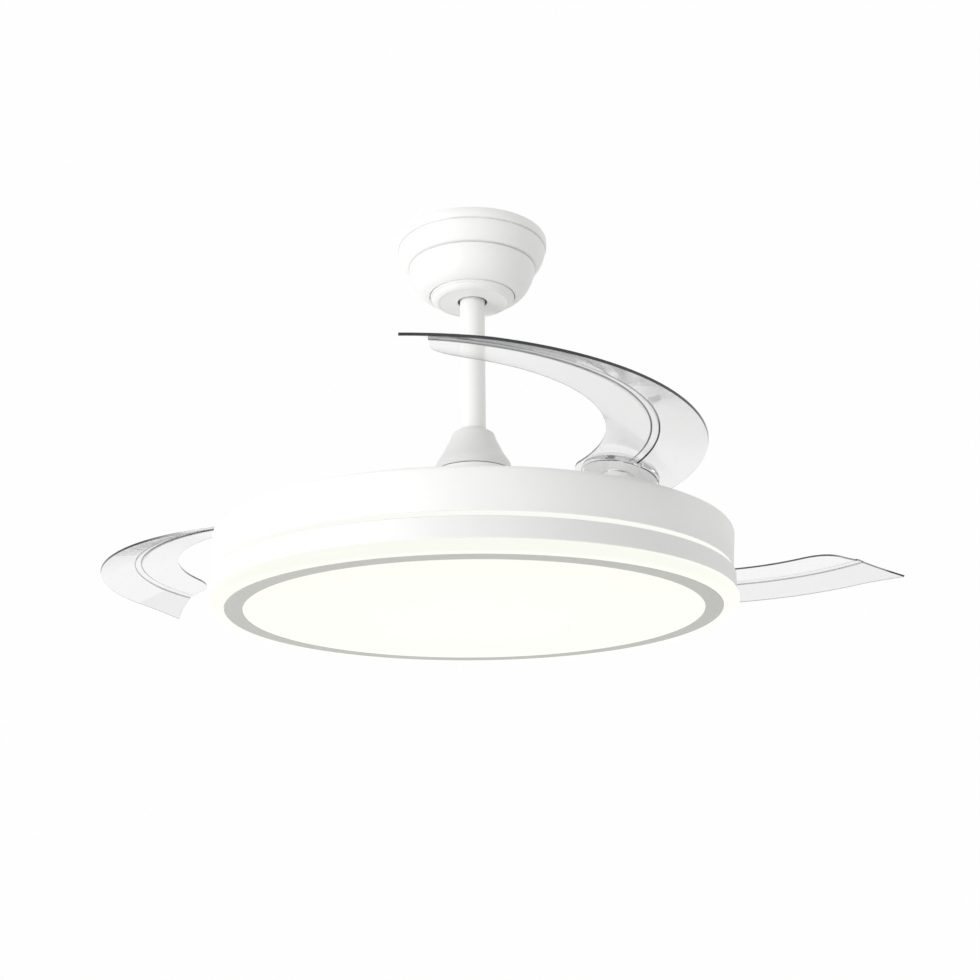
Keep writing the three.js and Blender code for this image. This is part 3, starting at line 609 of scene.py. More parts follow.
@dataclass(frozen=True)
class MilkyMoulding(Finish):
    """Thin milky polypropylene, injection moulded, that lets much of the light straight through."""

    through: float = 0.6

    def surface(self, draft: Draft) -> bpy.types.NodeSocket:
        """Lets part of the light pass through the wall."""
        passing = draft.add("ShaderNodeBsdfTransparent", {"Color": linear(self.colour)})
        return draft.mixed(self.through, passing)


# Powder coat on aluminium and steel: satin, with the orange peel of the cured powder. The peel is
# drawn at 3 mm, coarser than the real 0.5 mm, so that it shows.
POWDER_COAT = Finish("powder_coated_white", "white_paint", "#F3F3F2", 0.42, grain_size=3.0)
DRUM_COAT = Finish("spun_aluminium_powder_coat", "white_paint", "#F1F1F0", 0.38, grain_size=3.0)
BAND_COAT = Finish("rolled_band_powder_coat", "white_paint", "#EDEDEC", 0.4, grain_size=3.0)
# Moulded ABS: a finer, glossier white than the paint.
MOULDED_ABS = Finish("moulded_white_abs", "white_plastic", "#FBFBFA", 0.3, grain_size=4.0, grain_depth=0.005)
# Milky polypropylene, thin as the caps over the blades' pads are.
CAP_MOULDING = MilkyMoulding(
    "moulded_white_polypropylene", "white_plastic", "#FEFEFE", 0.35,
    mottle=0.004, grain_size=4.0, grain_depth=0.005,
)
# The coupling cover's white coat is painted a shade greyer than the drum: painted shade for the bell's
# upward-facing flare, which gets less of the light from below.
SHADED_COVER_COAT = Finish("pressed_cover_powder_coat_painted_shade", "white_paint", "#E4E4E3", 0.44, grain_size=3.0)
GREY_ENAMEL = Finish("stoved_grey_enamel", "grey_paint", "#C2C3BE", 0.4, grain_size=3.0)
PANEL_OPAL = OpalAcrylic(
    "opal_acrylic_panel", "glow_plastic", "#0C0C0B", 0.5, glow="#FEFDF5", rim_radius=220.0
)
RING_OPAL = OpalAcrylic("opal_acrylic_ring", "glow_plastic", "#0C0C0B", 0.5, glow="#FDFEF5")
STRIP_OPAL = OpalAcrylic("opal_acrylic_strip", "glow_plastic", "#0C0C0B", 0.5, glow="#FEFFF8")
# The clear sheet is painted darker where it is seen at a low angle: painted shade in its colour, not a tint
# of the plastic.
CLEAR_SHEET = BladePolycarbonate(
    "clear_polycarbonate", "clear_plastic", "#FBFBFB", 0.03,
    grain_size=30.0, grain_depth=0.02, gloss_drift=0.01,
)
# The rim and the ridge's flanks are painted nearly black: painted shade, not a colour of the plastic.
CLEAR_RIM_PAINTED_DARK = BladeEdge(
    "clear_polycarbonate_rim_painted_dark", "clear_plastic", "#E4E5E6", 0.12, grain_size=20.0, gloss_drift=0.04,
    clearness=0.35, painted_dark="#1E1F20",
)
CLEAR_PAD = ClearPolycarbonate(
    "clear_polycarbonate_pad", "clear_plastic", "#FBFBFB", 0.03, mottle=0.004, grain_size=30.0,
    grain_depth=0.01, gloss_drift=0.01,
)
ZINC_PLATE = Finish(
    "zinc_plated_steel", "zinc_steel", "#B4B7BA", 0.38, 1.0, mottle=0.08, mottle_size=14.0,
    grain_size=2.5, gloss_drift=0.08,
)
GROUND_STEEL = Finish(
    "ground_steel", "ground_steel", "#BFC2C5", 0.25, 1.0, mottle=0.03, grain_size=4.0,
    gloss_drift=0.06, stretch=(1.0, 1.0, 6.0),
)
SPRING_WIRE = Finish("oiled_spring_wire", "spring_steel", "#85888C", 0.3, 1.0, mottle=0.05, grain_size=2.0)
CAST_ALUMINIUM = Finish(
    "die_cast_aluminium", "cast_aluminium", "#C6C9CB", 0.5, 1.0, mottle=0.04, mottle_size=25.0,
    grain_size=2.0, grain_depth=0.03, gloss_drift=0.06,
)
LAMINATIONS = Finish(
    "varnished_laminations", "silicon_steel", "#6A6E73", 0.5, 1.0, mottle=0.1, mottle_size=8.0,
    grain_size=1.5, grain_depth=0.05, stretch=(0.2, 0.2, 8.0),
)
COPPER_WINDING = Finish(
    "enamelled_copper_wire", "copper_wire", "#B2683A", 0.32, 1.0, mottle=0.12, mottle_size=5.0,
    grain_size=1.6, grain_depth=0.15, stretch=(0.4, 0.4, 4.0),
)
FERRITE_RING = Finish(
    "sintered_ferrite", "ferrite", "#3B3B3E", 0.7, mottle=0.08, mottle_size=6.0, grain_size=1.5,
)
MOULDED_NYLON = Finish("moulded_black_nylon", "black_plastic", "#2B2C2E", 0.55, mottle=0.05, grain_size=2.0)
CIRCUIT_BOARD = Finish("white_solder_mask", "board_white", "#ECECE8", 0.5, mottle=0.02, grain_size=2.0)


# ---------------------------------------------------------------- ceiling end


@dataclass
class CeilingCanopy:
    """The stepped canopy on the ceiling and the ring that hides its screws."""

    band: float = 77.6
    tier_foot: float = 67.0
    tier_drop: float = 31.0
    bowl_foot: float = 45.0
    height: float = 63.0
    wall: float = 1.6
    ring: float = 43.2
    ring_face: float = 35.0
    ring_height: float = 6.6
    seat_depth: float = 2.2  # how deep the ring's edge stands in its groove
    hole: float = 15.2

    def outline(self) -> Outline:
        """The canopy's section: a band, a drawn-in tier and a bowl, with a pressed step after each."""
        outside = [
            (self.band - 0.7, -0.4), (self.band - 0.15, -1.4), (self.band, -5.5),
            (self.band - 0.2, -9.2), (self.band - 0.8, -10.3), (self.band - 3.4, -10.7),
            (self.band - 3.6, -11.9), (self.band - 1.7, -12.3),
        ]
        outside += smooth(
            [(76.0, -13.2), (74.9, -17.6), (72.7, -22.9), (69.7, -27.5), (self.tier_foot, -30.4)], 5
        )
        outside += [
            (self.tier_foot - 1.0, -self.tier_drop + 0.1), (self.tier_foot - 4.8, -self.tier_drop - 0.1),
            (self.tier_foot - 5.0, -self.tier_drop - 1.3),
        ]
        outside += smooth(
            [(65.0, -32.8), (64.5, -37.4), (61.6, -45.2), (57.1, -53.2), (51.2, -59.4),
             (self.bowl_foot, -self.height)], 5
        )
        seat, floor = self.ring + 0.8, -self.height + self.seat_depth
        groove = [
            (seat + 0.2, -self.height), (seat, floor),
            (self.ring - 2.4, floor), (self.ring - 2.4, -self.height),
        ]
        inside = [
            (self.hole + 0.8, -self.height), (self.hole + 0.8, -self.height + self.wall),
            (self.ring - 4.0, -self.height + self.wall), (self.ring - 3.4, floor + self.wall),
            (self.bowl_foot + 0.5, floor + self.wall), (54.6, -51.6), (60.4, -38.4),
            (60.4, -30.6), (self.band - 5.4, -14.0), (self.band - 5.2, -9.6), (self.band - 2.2, -8.8),
            (self.band - 2.2, -0.4),
        ]
        return outside + groove + inside

    def ring_outline(self) -> Outline:
        """The trim ring's section: a rolled lip, a broad shoulder and a flat face round the rod."""
        top = -self.height + self.seat_depth - 0.3
        low = -self.height - self.ring_height
        lip, face = self.ring, self.ring_face
        shoulder = smooth(
            [(lip - 1.6, low + 4.4), (lip - 2.9, low + 2.9), (lip - 4.6, low + 1.3), (face + 1.2, low + 0.2),
             (face, low)], 4
        )
        return [
            (lip - 0.3, top), (lip, top - 0.3), (lip, low + 5.3), (lip - 0.3, low + 4.9),
            (lip - 0.9, low + 4.6), *shoulder,
            (face - 0.8, low + 0.5), (self.hole + 0.8, low + 0.5), (self.hole, low + 1.0),
            (self.hole, low + 1.9), (face + 0.6, low + 1.9), (lip - 3.6, low + 4.4), (lip - 1.8, low + 5.6),
            (lip - 1.8, top),
        ]

    def build(self) -> None:
        """Builds and dresses the canopy and its ring."""
        shell = turned("canopy_shell", self.outline(), 160)
        for side in (-1, 1):
            hole = peg("screw_hole", 2.4, -self.height - 3, -self.height + 4)
            hole.location.y = mm(27 * side)
            place_in_mesh(hole)
            combine(shell, hole, "DIFFERENCE")
        shade(shell)
        dress(shell, Body.CEILING, POWDER_COAT, ["canopy"])
        ring = turned("trim_ring", self.ring_outline(), 144)
        dress(ring, Body.CEILING, POWDER_COAT, ["canopy_trim_ring"])


@dataclass
class Downrod:
    """The painted rod, drilled for its pins, and the flared bell over its lower end."""

    radius: float = 12.7
    wall: float = 1.8
    bell_base: float = 38.2
    bell_shoulder: float = 21.5
    bell_height: float = 44.6

    def build_rod(self) -> None:
        """Builds the rod with its two cross holes."""
        low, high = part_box("downrod")
        bottom, top = low.z * 1000, high.z * 1000
        inner = self.radius - self.wall
        rod = turned(
            "rod", [(self.radius, bottom), (self.radius, top), (inner, top), (inner, bottom)], 96, 0.3
        )
        for node, radius in (("ball_cross_pin", 3.4), ("coupler_pin", 2.9)):
            a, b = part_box(node)
            hole = peg("pin_hole", radius, -40, 40)
            hole.rotation_euler.y = math.pi / 2
            hole.location.z = (a.z + b.z) / 2
            place_in_mesh(hole)
            combine(rod, hole, "DIFFERENCE")
        shade(rod)
        dress(rod, Body.HANGING, POWDER_COAT, ["downrod"])

    def build_bell(self) -> None:
        """Builds the bell: a short upright lip, a hollow flare and a rounded shoulder."""
        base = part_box("coupling_cover")[0].z * 1000
        lip, top = self.bell_base, base + self.bell_height
        shoulder = self.bell_shoulder
        flare = [
            (lip - 0.1, 2.6), (lip - 0.9, 7.4), (lip - 3.9, 12.6), (lip - 7.9, 18.6), (shoulder + 5.9, 24.8),
            (shoulder + 3.4, 29.6), (shoulder + 1.2, 34.6), (shoulder + 0.1, 38.2),
        ]
        outside = raised([(lip - 0.3, 0), (lip, 0.4), (lip, 1.3)], base) + smooth(raised(flare, base), 4)
        collar = self.radius + 1.2
        outside += smooth(
            [(shoulder - 0.8, base + 39.8), (shoulder - 2.6, top - 3.6), (shoulder - 4.6, top - 2.8),
             (collar + 0.3, top - 2.6)], 3,
        )
        outside += [(collar, top - 2.3), (collar, top - 0.2), (collar - 0.2, top), (self.radius + 0.5, top)]
        inside = [
            (self.radius + 0.5, top - 4.2), (shoulder - 4.0, top - 4.8), (shoulder - 1.6, base + 37.6),
            (shoulder + 3.9, base + 24.6), (lip - 5.6, base + 12.4), (lip - 1.9, base + 3.0),
            (lip - 1.6, base),
        ]
        bell = turned("bell", outside + inside, 144)
        dress(bell, Body.HANGING, SHADED_COVER_COAT, ["coupling_cover"])

    def build(self) -> None:
        """Builds the rod and the bell."""
        self.build_rod()
        self.build_bell()


# ---------------------------------------------------------------- motor


@dataclass
class MotorHousings:
    """The turning outer shell of the motor in two bolted halves."""

    radius: float = 76.0
    wall: float = 3.5
    flange: float = 84.0
    flange_thickness: float = 4.0
    neck: float = 38.0
    neck_height: float = 20.7
    shaft_hole: float = 11.0
    upper_seat: float = 16.3  # the upper bearing's
    lower_seat: float = 17.8
    screw_circle: float = 80.0
    screw_hole: float = 2.4

    def upper_outline(self, low: float, top: float) -> Outline:
        """The upper half's section between its split and the top of its neck, in millimetres."""
        seat, body, hole = self.upper_seat, top - self.neck_height, self.shaft_hole
        return [
            (hole, top - 5.2), (hole, top - 3.5), (self.neck - 3, top - 3.5), (self.neck - 3, top),
            (self.neck, top),
            (self.neck, body + 0.6), (self.neck + 0.6, body), (self.radius - 8, body),
            (self.radius - 3.6, body - 1.2), (self.radius - 1.0, body - 4.0), (self.radius, body - 8),
            (self.radius, low + self.flange_thickness), (self.flange, low + self.flange_thickness),
            (self.flange, low), (self.radius - self.wall, low), (self.radius - self.wall, body - 9.5),
            (self.radius - 9, body - self.wall), (seat, body - self.wall), (seat, top - 5.2),
        ]

    def lower_outline(self, low: float, top: float) -> Outline:
        """The lower half's section between its floor and the split, in millimetres."""
        seat, floor, hole = self.lower_seat, low + self.wall, self.shaft_hole
        return [
            (hole, low), (self.radius - 6, low), (self.radius - 1.8, low + 1.8), (self.radius, low + 6),
            (self.radius, top - self.flange_thickness), (self.flange, top - self.flange_thickness),
            (self.flange, top), (self.radius - self.wall, top), (self.radius - self.wall, floor + 2.5),
            (self.radius - 8, floor), (seat + 4, floor), (seat + 4, floor + 10), (seat, floor + 10),
            (seat, floor - 0.8), (hole, floor - 0.8),
        ]

    def build(self) -> None:
        """Builds both halves with their three screw holes."""
        for name, node, outline, finish in (
            ("motor_top", "upper_housing", self.upper_outline, POWDER_COAT),
            ("motor_bottom", "lower_housing", self.lower_outline, CAST_ALUMINIUM),
        ):
            low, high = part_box(node)
            half = turned(name, outline(low.z * 1000, high.z * 1000), 128)
            for turn in (30, 150, 270):
                hole = peg("screw_hole", self.screw_hole, low.z * 1000 - 5, high.z * 1000 + 5, 24)
                hole.location.x = mm(self.screw_circle * math.cos(math.radians(turn)))
                hole.location.y = mm(self.screw_circle * math.sin(math.radians(turn)))
                place_in_mesh(hole)
                combine(half, hole, "DIFFERENCE")
            soften(half, 0.4)
            shade(half)
            dress(half, Body.ROTOR, finish, [node])


# ---------------------------------------------------------------- blades


@dataclass
class FoldingBlade:
    """One clear blade with its hub, clamp, pivot and spring, drawn folded about its own pivot.

    The folded blade is a slice of a shallow cone round the fan's axis: an inner and an outer arc, a
    raised ridge between them, a half-round root and a cut-back, flared end.
    """

    outer: float = 251.4
    inner: float = 172.4
    crease: float = 214.0
    crease_shift: float = 7.0
    shift_sweep: float = 62.0
    ridge: float = 6.5
    flank: float = 0.9
    outer_rise: float = 4.0
    crease_rise: float = 18.0
    inner_rise: float = 24.0
    tip_droop: float = 2.0
    flare_start: float = 0.88
    thickness: float = 2.0
    sweep: float = 110.0
    end_cut: float = 6.5
    flare: float = 4.2
    pad: float = 34.0
    pad_thickness: float = 7.0
    slope: float = 20 / 79
    crease_height: float = -309.533
    pad_height: float = -310.533
    flange: float = 27.0
    flange_thickness: float = 2.4
    flange_height: float = -323.933
    cap: float = 32.3
    bore: float = 6.4  # the hub's, round the post
    barrel: float = 15.0
    neck: float = 9.6
    pad_bore: float = 9.9
    cap_bore: float = 11.1
    corner_reach: float = 26.0  # how far across the sheet its end's inner corner is rounded
    corner_turn: float = 12.6  # degrees that the rounding takes off
    stop_reach: float = 24.0
    stop_radius: float = 3.5
    columns: int = 96  # faces along the sheet
    first_turn: float = -53.15
    fold: float = 77.5
    held_back: float = 11.0

    @property
    def circle(self) -> float:
        """The radius of the circle that the pivots stand on."""
        return (self.outer + self.inner) / 2

    def shift(self, angle: float) -> float:
        """How far the ridge is drawn inwards at an angle along the blade: most at the root."""
        near_root = max(0.0, 1 - max(0.0, -angle) / self.shift_sweep)
        return self.crease_shift * near_root**1.3

    def height(self, radius: float, angle: float) -> float:
        """The sheet's height above its ridge at a distance from the fan's axis and an angle along it."""
        crease = self.crease - self.shift(angle)
        if radius < crease:
            return (crease - radius) * (self.inner_rise - self.crease_rise) / (crease - self.inner)
        past = (-angle / self.sweep - self.flare_start) / (1 - self.flare_start)
        droop = self.tip_droop * min(max(past, 0.0), 1.0)
        return (crease - radius) * (self.crease_rise - self.outer_rise + droop) / (self.outer - crease)

    def end_angle(self, radius: float) -> float:
        """How far round, the sheet runs at a radius: a rounded inner corner, then a cut-back end."""
        corner = -self.sweep + self.end_cut
        reach = self.corner_reach
        if radius < self.inner + reach:
            left = 1 - math.sqrt(max(radius - self.inner, 0.0) / reach)
            return corner + self.corner_turn * left**2
        t = (radius - self.inner - reach) / (self.outer + self.flare - self.inner - reach)
        middle = corner - self.end_cut * 0.3
        return corner * (1 - t) ** 2 + 2 * middle * t * (1 - t) - self.sweep * t**2

    def root_angle(self, radius: float) -> float:
        """How far round, in degrees, the half-round root reaches beyond the pivot at a radius."""
        root = (self.outer - self.inner) / 2
        cosine = (radius**2 + self.circle**2 - root**2) / (2 * radius * self.circle)
        return math.degrees(math.acos(min(cosine, 1.0)))

    def rows(self) -> list[float]:
        """The radii that the sheet's rows of faces follow, closer together at the edges and the ridge."""
        low, high = self.crease - self.ridge / 2, self.crease + self.ridge / 2
        turns = [math.pi / 2 * k / 13 for k in range(14)]
        below, above, flank = low - 1.2, high + 1.2, self.flank / 2
        inner = [self.inner + (below - self.inner) * (1 - math.cos(turn)) for turn in turns]
        outer = [above + (self.outer - above) * math.sin(turn) for turn in turns]
        return inner + [low - flank, low + flank, self.crease, high - flank, high + flank] + outer

    def share_of_shift(self, row: float) -> float:
        """How much of the ridge's shift a row takes: all of it at the ridge, none at the edges."""
        if row < self.crease:
            return min((row - self.inner) / (self.crease - self.ridge / 2 - self.inner), 1.0)
        return min((self.outer - row) / (self.outer - self.crease - self.ridge / 2), 1.0)

    def point(self, along: float, row: float) -> Vector:
        """A point of the middle surface.

        Args:
            along: From 0 at the root to 1 at the end.
            row: The row's radius at the tip, before the end flares.

        Returns:
            The point in metres, with the pivot at the origin.
        """
        share = max((row - self.crease) / (self.outer - self.crease), 0.0)
        follows = self.share_of_shift(row)
        start = self.root_angle(row - follows * self.crease_shift)
        angle = start + (self.end_angle(row + self.flare * share) - start) * along
        begins = -self.sweep * self.flare_start
        rise = min(max((begins - angle) / (self.sweep + begins), 0.0), 1.0)
        radius = row + self.flare * share * rise**2 - follows * self.shift(angle)
        lift = 0.5 if abs(row - self.crease) < self.ridge / 2 else 0.0
        turn = math.radians(angle)
        return Vector(
            (
                mm(radius * math.cos(turn) - self.circle),
                mm(radius * math.sin(turn)),
                mm(self.height(radius, angle) + lift + self.crease_height),
            )
        )

    def sheet(self) -> bpy.types.Object:
        """The blade's sheet: a grid laid on the cone, thickened, with its rim given the rim's finish, which
        is painted dark as shade.
        """
        rows = self.rows()
        deselect_all()
        bpy.ops.mesh.primitive_grid_add(x_subdivisions=self.columns, y_subdivisions=len(rows) - 1, size=1)
        sheet = bpy.context.object
        sheet.name = "blade_sheet"
        for vertex in sheet.data.vertices:
            row = rows[round((vertex.co.y + 0.5) * (len(rows) - 1))]
            vertex.co = self.point(vertex.co.x + 0.5, row)
        with editing(sheet):
            bpy.ops.mesh.remove_doubles(threshold=WELD)
        self.lay_finishes(sheet)
        self.mark_ridge(sheet)
        apply_modifier(
            sheet, "SOLIDIFY", thickness=mm(self.thickness), offset=0.0, material_offset_rim=1
        )
        return sheet

    def lay_finishes(self, piece: bpy.types.Object) -> None:
        """Gives a piece the blade's three finishes in the order that its faces count them."""
        for finish in (CLEAR_SHEET, CLEAR_RIM_PAINTED_DARK, CLEAR_PAD):
            piece.data.materials.append(finish.material())

    def mark_ridge(self, sheet: bpy.types.Object) -> None:
        """Gives the narrow flanks of the ridge the rim's finish, which is painted dark as shade.

        Args:
            sheet: The sheet before it is thickened.
        """
        for face in sheet.data.polygons:
            middle = Vector(face.center)
            middle.x += mm(self.circle)
            reach = math.hypot(middle.x, middle.y) * 1000
            crease = self.crease - self.shift(math.degrees(math.atan2(middle.y, middle.x)))
            for flank in (crease - self.ridge / 2, crease + self.ridge / 2):
                if abs(reach - flank) < 0.3:
                    face.material_index = 1

    def tilted(self, name: str, radius: float, low: float, high: float) -> bpy.types.Object:
        """A disc that lies along the blade's chord, centred on the pivot at the pad's height."""
        disc = peg(name, radius, low, high, 96)
        disc.rotation_euler.y = math.atan(self.slope)
        disc.location.z = mm(self.pad_height)
        place_in_mesh(disc)
        return disc

    def blade(self) -> bpy.types.Object:
        """The sheet joined to its thick round pad, bored for the hub's neck."""
        blade = self.sheet()
        half = self.pad_thickness / 2
        pad = self.tilted("pad", self.pad, -half, half)
        soften(pad, 0.7)
        self.lay_finishes(pad)
        for face in pad.data.polygons:
            face.material_index = 2
        combine(blade, pad, "UNION")
        bore = peg("bore", self.pad_bore, self.pad_height - 12, self.pad_height + 12, 64)
        combine(blade, bore, "DIFFERENCE")
        shade(blade, 28)
        return blade

    def hub(self) -> bpy.types.Object:
        """The hub: a notched flange, a barrel cut to the pad's slope and a neck through the pad."""
        base, bore = self.flange_height, self.bore
        rim, top = self.flange, base + self.flange_thickness
        hub = turned("hub", [(bore, base), (rim, base), (rim, top), (bore, top)], 96, 0.3)
        wide, high = self.barrel, self.pad_height + 6
        barrel = turned("barrel", [(bore, base + 1), (wide, base + 1), (wide, high), (bore, high)], 72)
        half = self.pad_thickness / 2
        combine(barrel, self.tilted("above", 60, -half - 0.3, 60), "DIFFERENCE")
        wide, high = self.neck, self.neck_top()
        neck = turned("neck", [(bore, base + 2), (wide, base + 2), (wide, high), (bore, high)], 64, 0.2)
        combine(hub, barrel, "UNION")
        combine(hub, neck, "UNION")
        combine(hub, self.notch(), "DIFFERENCE")
        soften(hub, 0.25)
        shade(hub)
        return hub

    def neck_top(self) -> float:
        """The height of the top of the hub's neck."""
        return self.pad_height + self.pad_thickness / 2 * math.hypot(1, self.slope) + 0.3

    def notch(self) -> bpy.types.Object:
        """The tool that cuts the flange's notch, from folded to fully out, for the stop to stand in."""
        clear = 0.8
        inside = self.stop_reach - self.stop_radius - clear
        half = math.degrees(math.asin(self.stop_radius / self.stop_reach) + clear / self.stop_reach)
        outline = [(inside, -1), (33, -1), (33, 4.5), (inside, 4.5)]
        ring = turned("notch", raised(outline, self.flange_height), 120)
        with editing(ring):
            for angle, keep_left in ((180 - self.fold - half, True), (180 + half, False)):
                turn = math.radians(angle)
                bpy.ops.mesh.select_all(action="SELECT")
                bpy.ops.mesh.bisect(
                    plane_co=(0, 0, 0), plane_no=(-math.sin(turn), math.cos(turn), 0.0), use_fill=True,
                    clear_inner=keep_left, clear_outer=not keep_left,
                )
        return ring

    def clamp(self) -> bpy.types.Object:
        """The white cap on the pad: a slightly crowned disc with a rounded rim."""
        low, rim = self.pad_thickness / 2 + 0.3, self.cap
        disc = turned(
            "clamp",
            [(0, low), (rim - 0.8, low), (rim, low + 0.8), (rim, low + 2.4), (rim - 0.8, low + 3.3),
             (rim - 3.5, low + 3.9), (20, low + 4), (0, low + 4)], 96,
        )
        disc.rotation_euler.y = math.atan(self.slope)
        disc.location.z = mm(self.pad_height)
        place_in_mesh(disc)
        bore = peg("bore", self.cap_bore, self.pad_height - 20, self.pad_height + 20, 64)
        combine(disc, bore, "DIFFERENCE")
        shade(disc)
        return disc

    def pivot(self) -> bpy.types.Object:
        """The pivot post, riveted through the carrier."""
        low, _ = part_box("pivot_post_1")
        foot = low.z * 1000
        top = self.neck_top() - 0.3 - foot
        outline = [
            (0, 0), (6.2, 0), (7, 0.9), (7, 2.8), (5, 2.8), (5, 5.9), (11, 5.9), (11, 8.4), (6, 8.4),
            (6, top - 0.5), (5.5, top), (3.4, top), (3.4, top - 12), (0, top - 12),
        ]
        return turned("pivot", raised(outline, foot), 64)

    def screw(self) -> bpy.types.Object:
        """The pivot screw with a low domed head and a hexagonal socket."""
        head = self.neck_top() + 0.3
        dome = smooth([(9, head + 0.9), (8.2, head + 1.8), (6.6, head + 2.4), (4.6, head + 2.6)], 3)
        screw = turned(
            "screw", [(0, head - 10.6), (3, head - 10.6), (3, head), (9, head)] + dome + [(0, head + 2.6)], 64
        )
        combine(screw, peg("socket", 2.6, head + 1.0, head + 5, 6), "DIFFERENCE")
        shade(screw)
        return screw

    def spring(self) -> bpy.types.Object:
        """The torsion spring: a small round wound up round the pivot."""
        low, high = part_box("blade_spring_1")
        wire, turns = 0.9, 2.5
        bottom = low.z * 1000 + wire
        rise = (high.z - low.z) * 1000 - 2 * wire
        deselect_all()
        bpy.ops.mesh.primitive_circle_add(
            vertices=10, radius=mm(wire), location=(mm(9.2), 0, mm(bottom)), rotation=(math.pi / 2, 0, 0)
        )
        coil = bpy.context.object
        coil.name = "spring"
        place_in_mesh(coil)
        apply_modifier(
            coil, "SCREW", angle=math.radians(360 * turns), screw_offset=mm(rise), iterations=1, steps=80,
            render_steps=80, axis="Z",
        )
        with editing(coil):
            bpy.ops.mesh.fill_holes(sides=0)
        shade(coil, 50)
        return coil

    def stop(self) -> bpy.types.Object:
        """The stop post that stands in the hub's notch."""
        low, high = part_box("stop_post_1")
        top = (high.z - low.z) * 1000
        rim, core = self.stop_radius, self.stop_radius - 1
        outline = [
            (0, 0), (rim, 0), (rim, 1.5), (core, 1.5), (core, 4.6), (rim, 4.6), (rim, top - 0.5),
            (rim - 0.5, top), (0, top),
        ]
        stop = turned("stop", raised(outline, low.z * 1000), 40)
        stop.location.x = mm(-self.stop_reach)
        place_in_mesh(stop)
        return stop

    def build(self) -> None:
        """Builds each piece once and stands a copy at each of the three pivots."""
        swinging = (
            (self.blade(), "clear_blade", "blade", CLEAR_SHEET),
            (self.hub(), "swing_hub", "blade_hub", MOULDED_ABS),
            (self.clamp(), "clamp_cap", "hub_clamp", CAP_MOULDING),
        )
        standing = (
            (self.pivot(), "pivot", "pivot_post", GROUND_STEEL),
            (self.screw(), "cap_screw", "pivot_screw", ZINC_PLATE),
            (self.spring(), "spring", "blade_spring", SPRING_WIRE),
            (self.stop(), "stop", "stop_post", GROUND_STEEL),
        )
        for number, arm in enumerate(ARMS, start=1):
            turn = math.radians(self.first_turn + 120 * (number - 1))
            station = Matrix.Rotation(turn, 4, "Z") @ Matrix.Translation((mm(self.circle), 0, 0))
            opened = self.fold - (0 if arm is Body.ARM_1 else self.held_back)
            swung = station @ Matrix.Rotation(math.radians(opened), 4, "Z")
            for patterns, place, body in ((swinging, swung, arm), (standing, station, Body.ROTOR)):
                for pattern, name, node, finish in patterns:
                    dress(copied(pattern, f"{name}_{number}", place), body, finish, [f"{node}_{number}"])
        for pattern, *_ in swinging + standing:
            bpy.data.objects.remove(pattern)


# ---------------------------------------------------------------- lamp


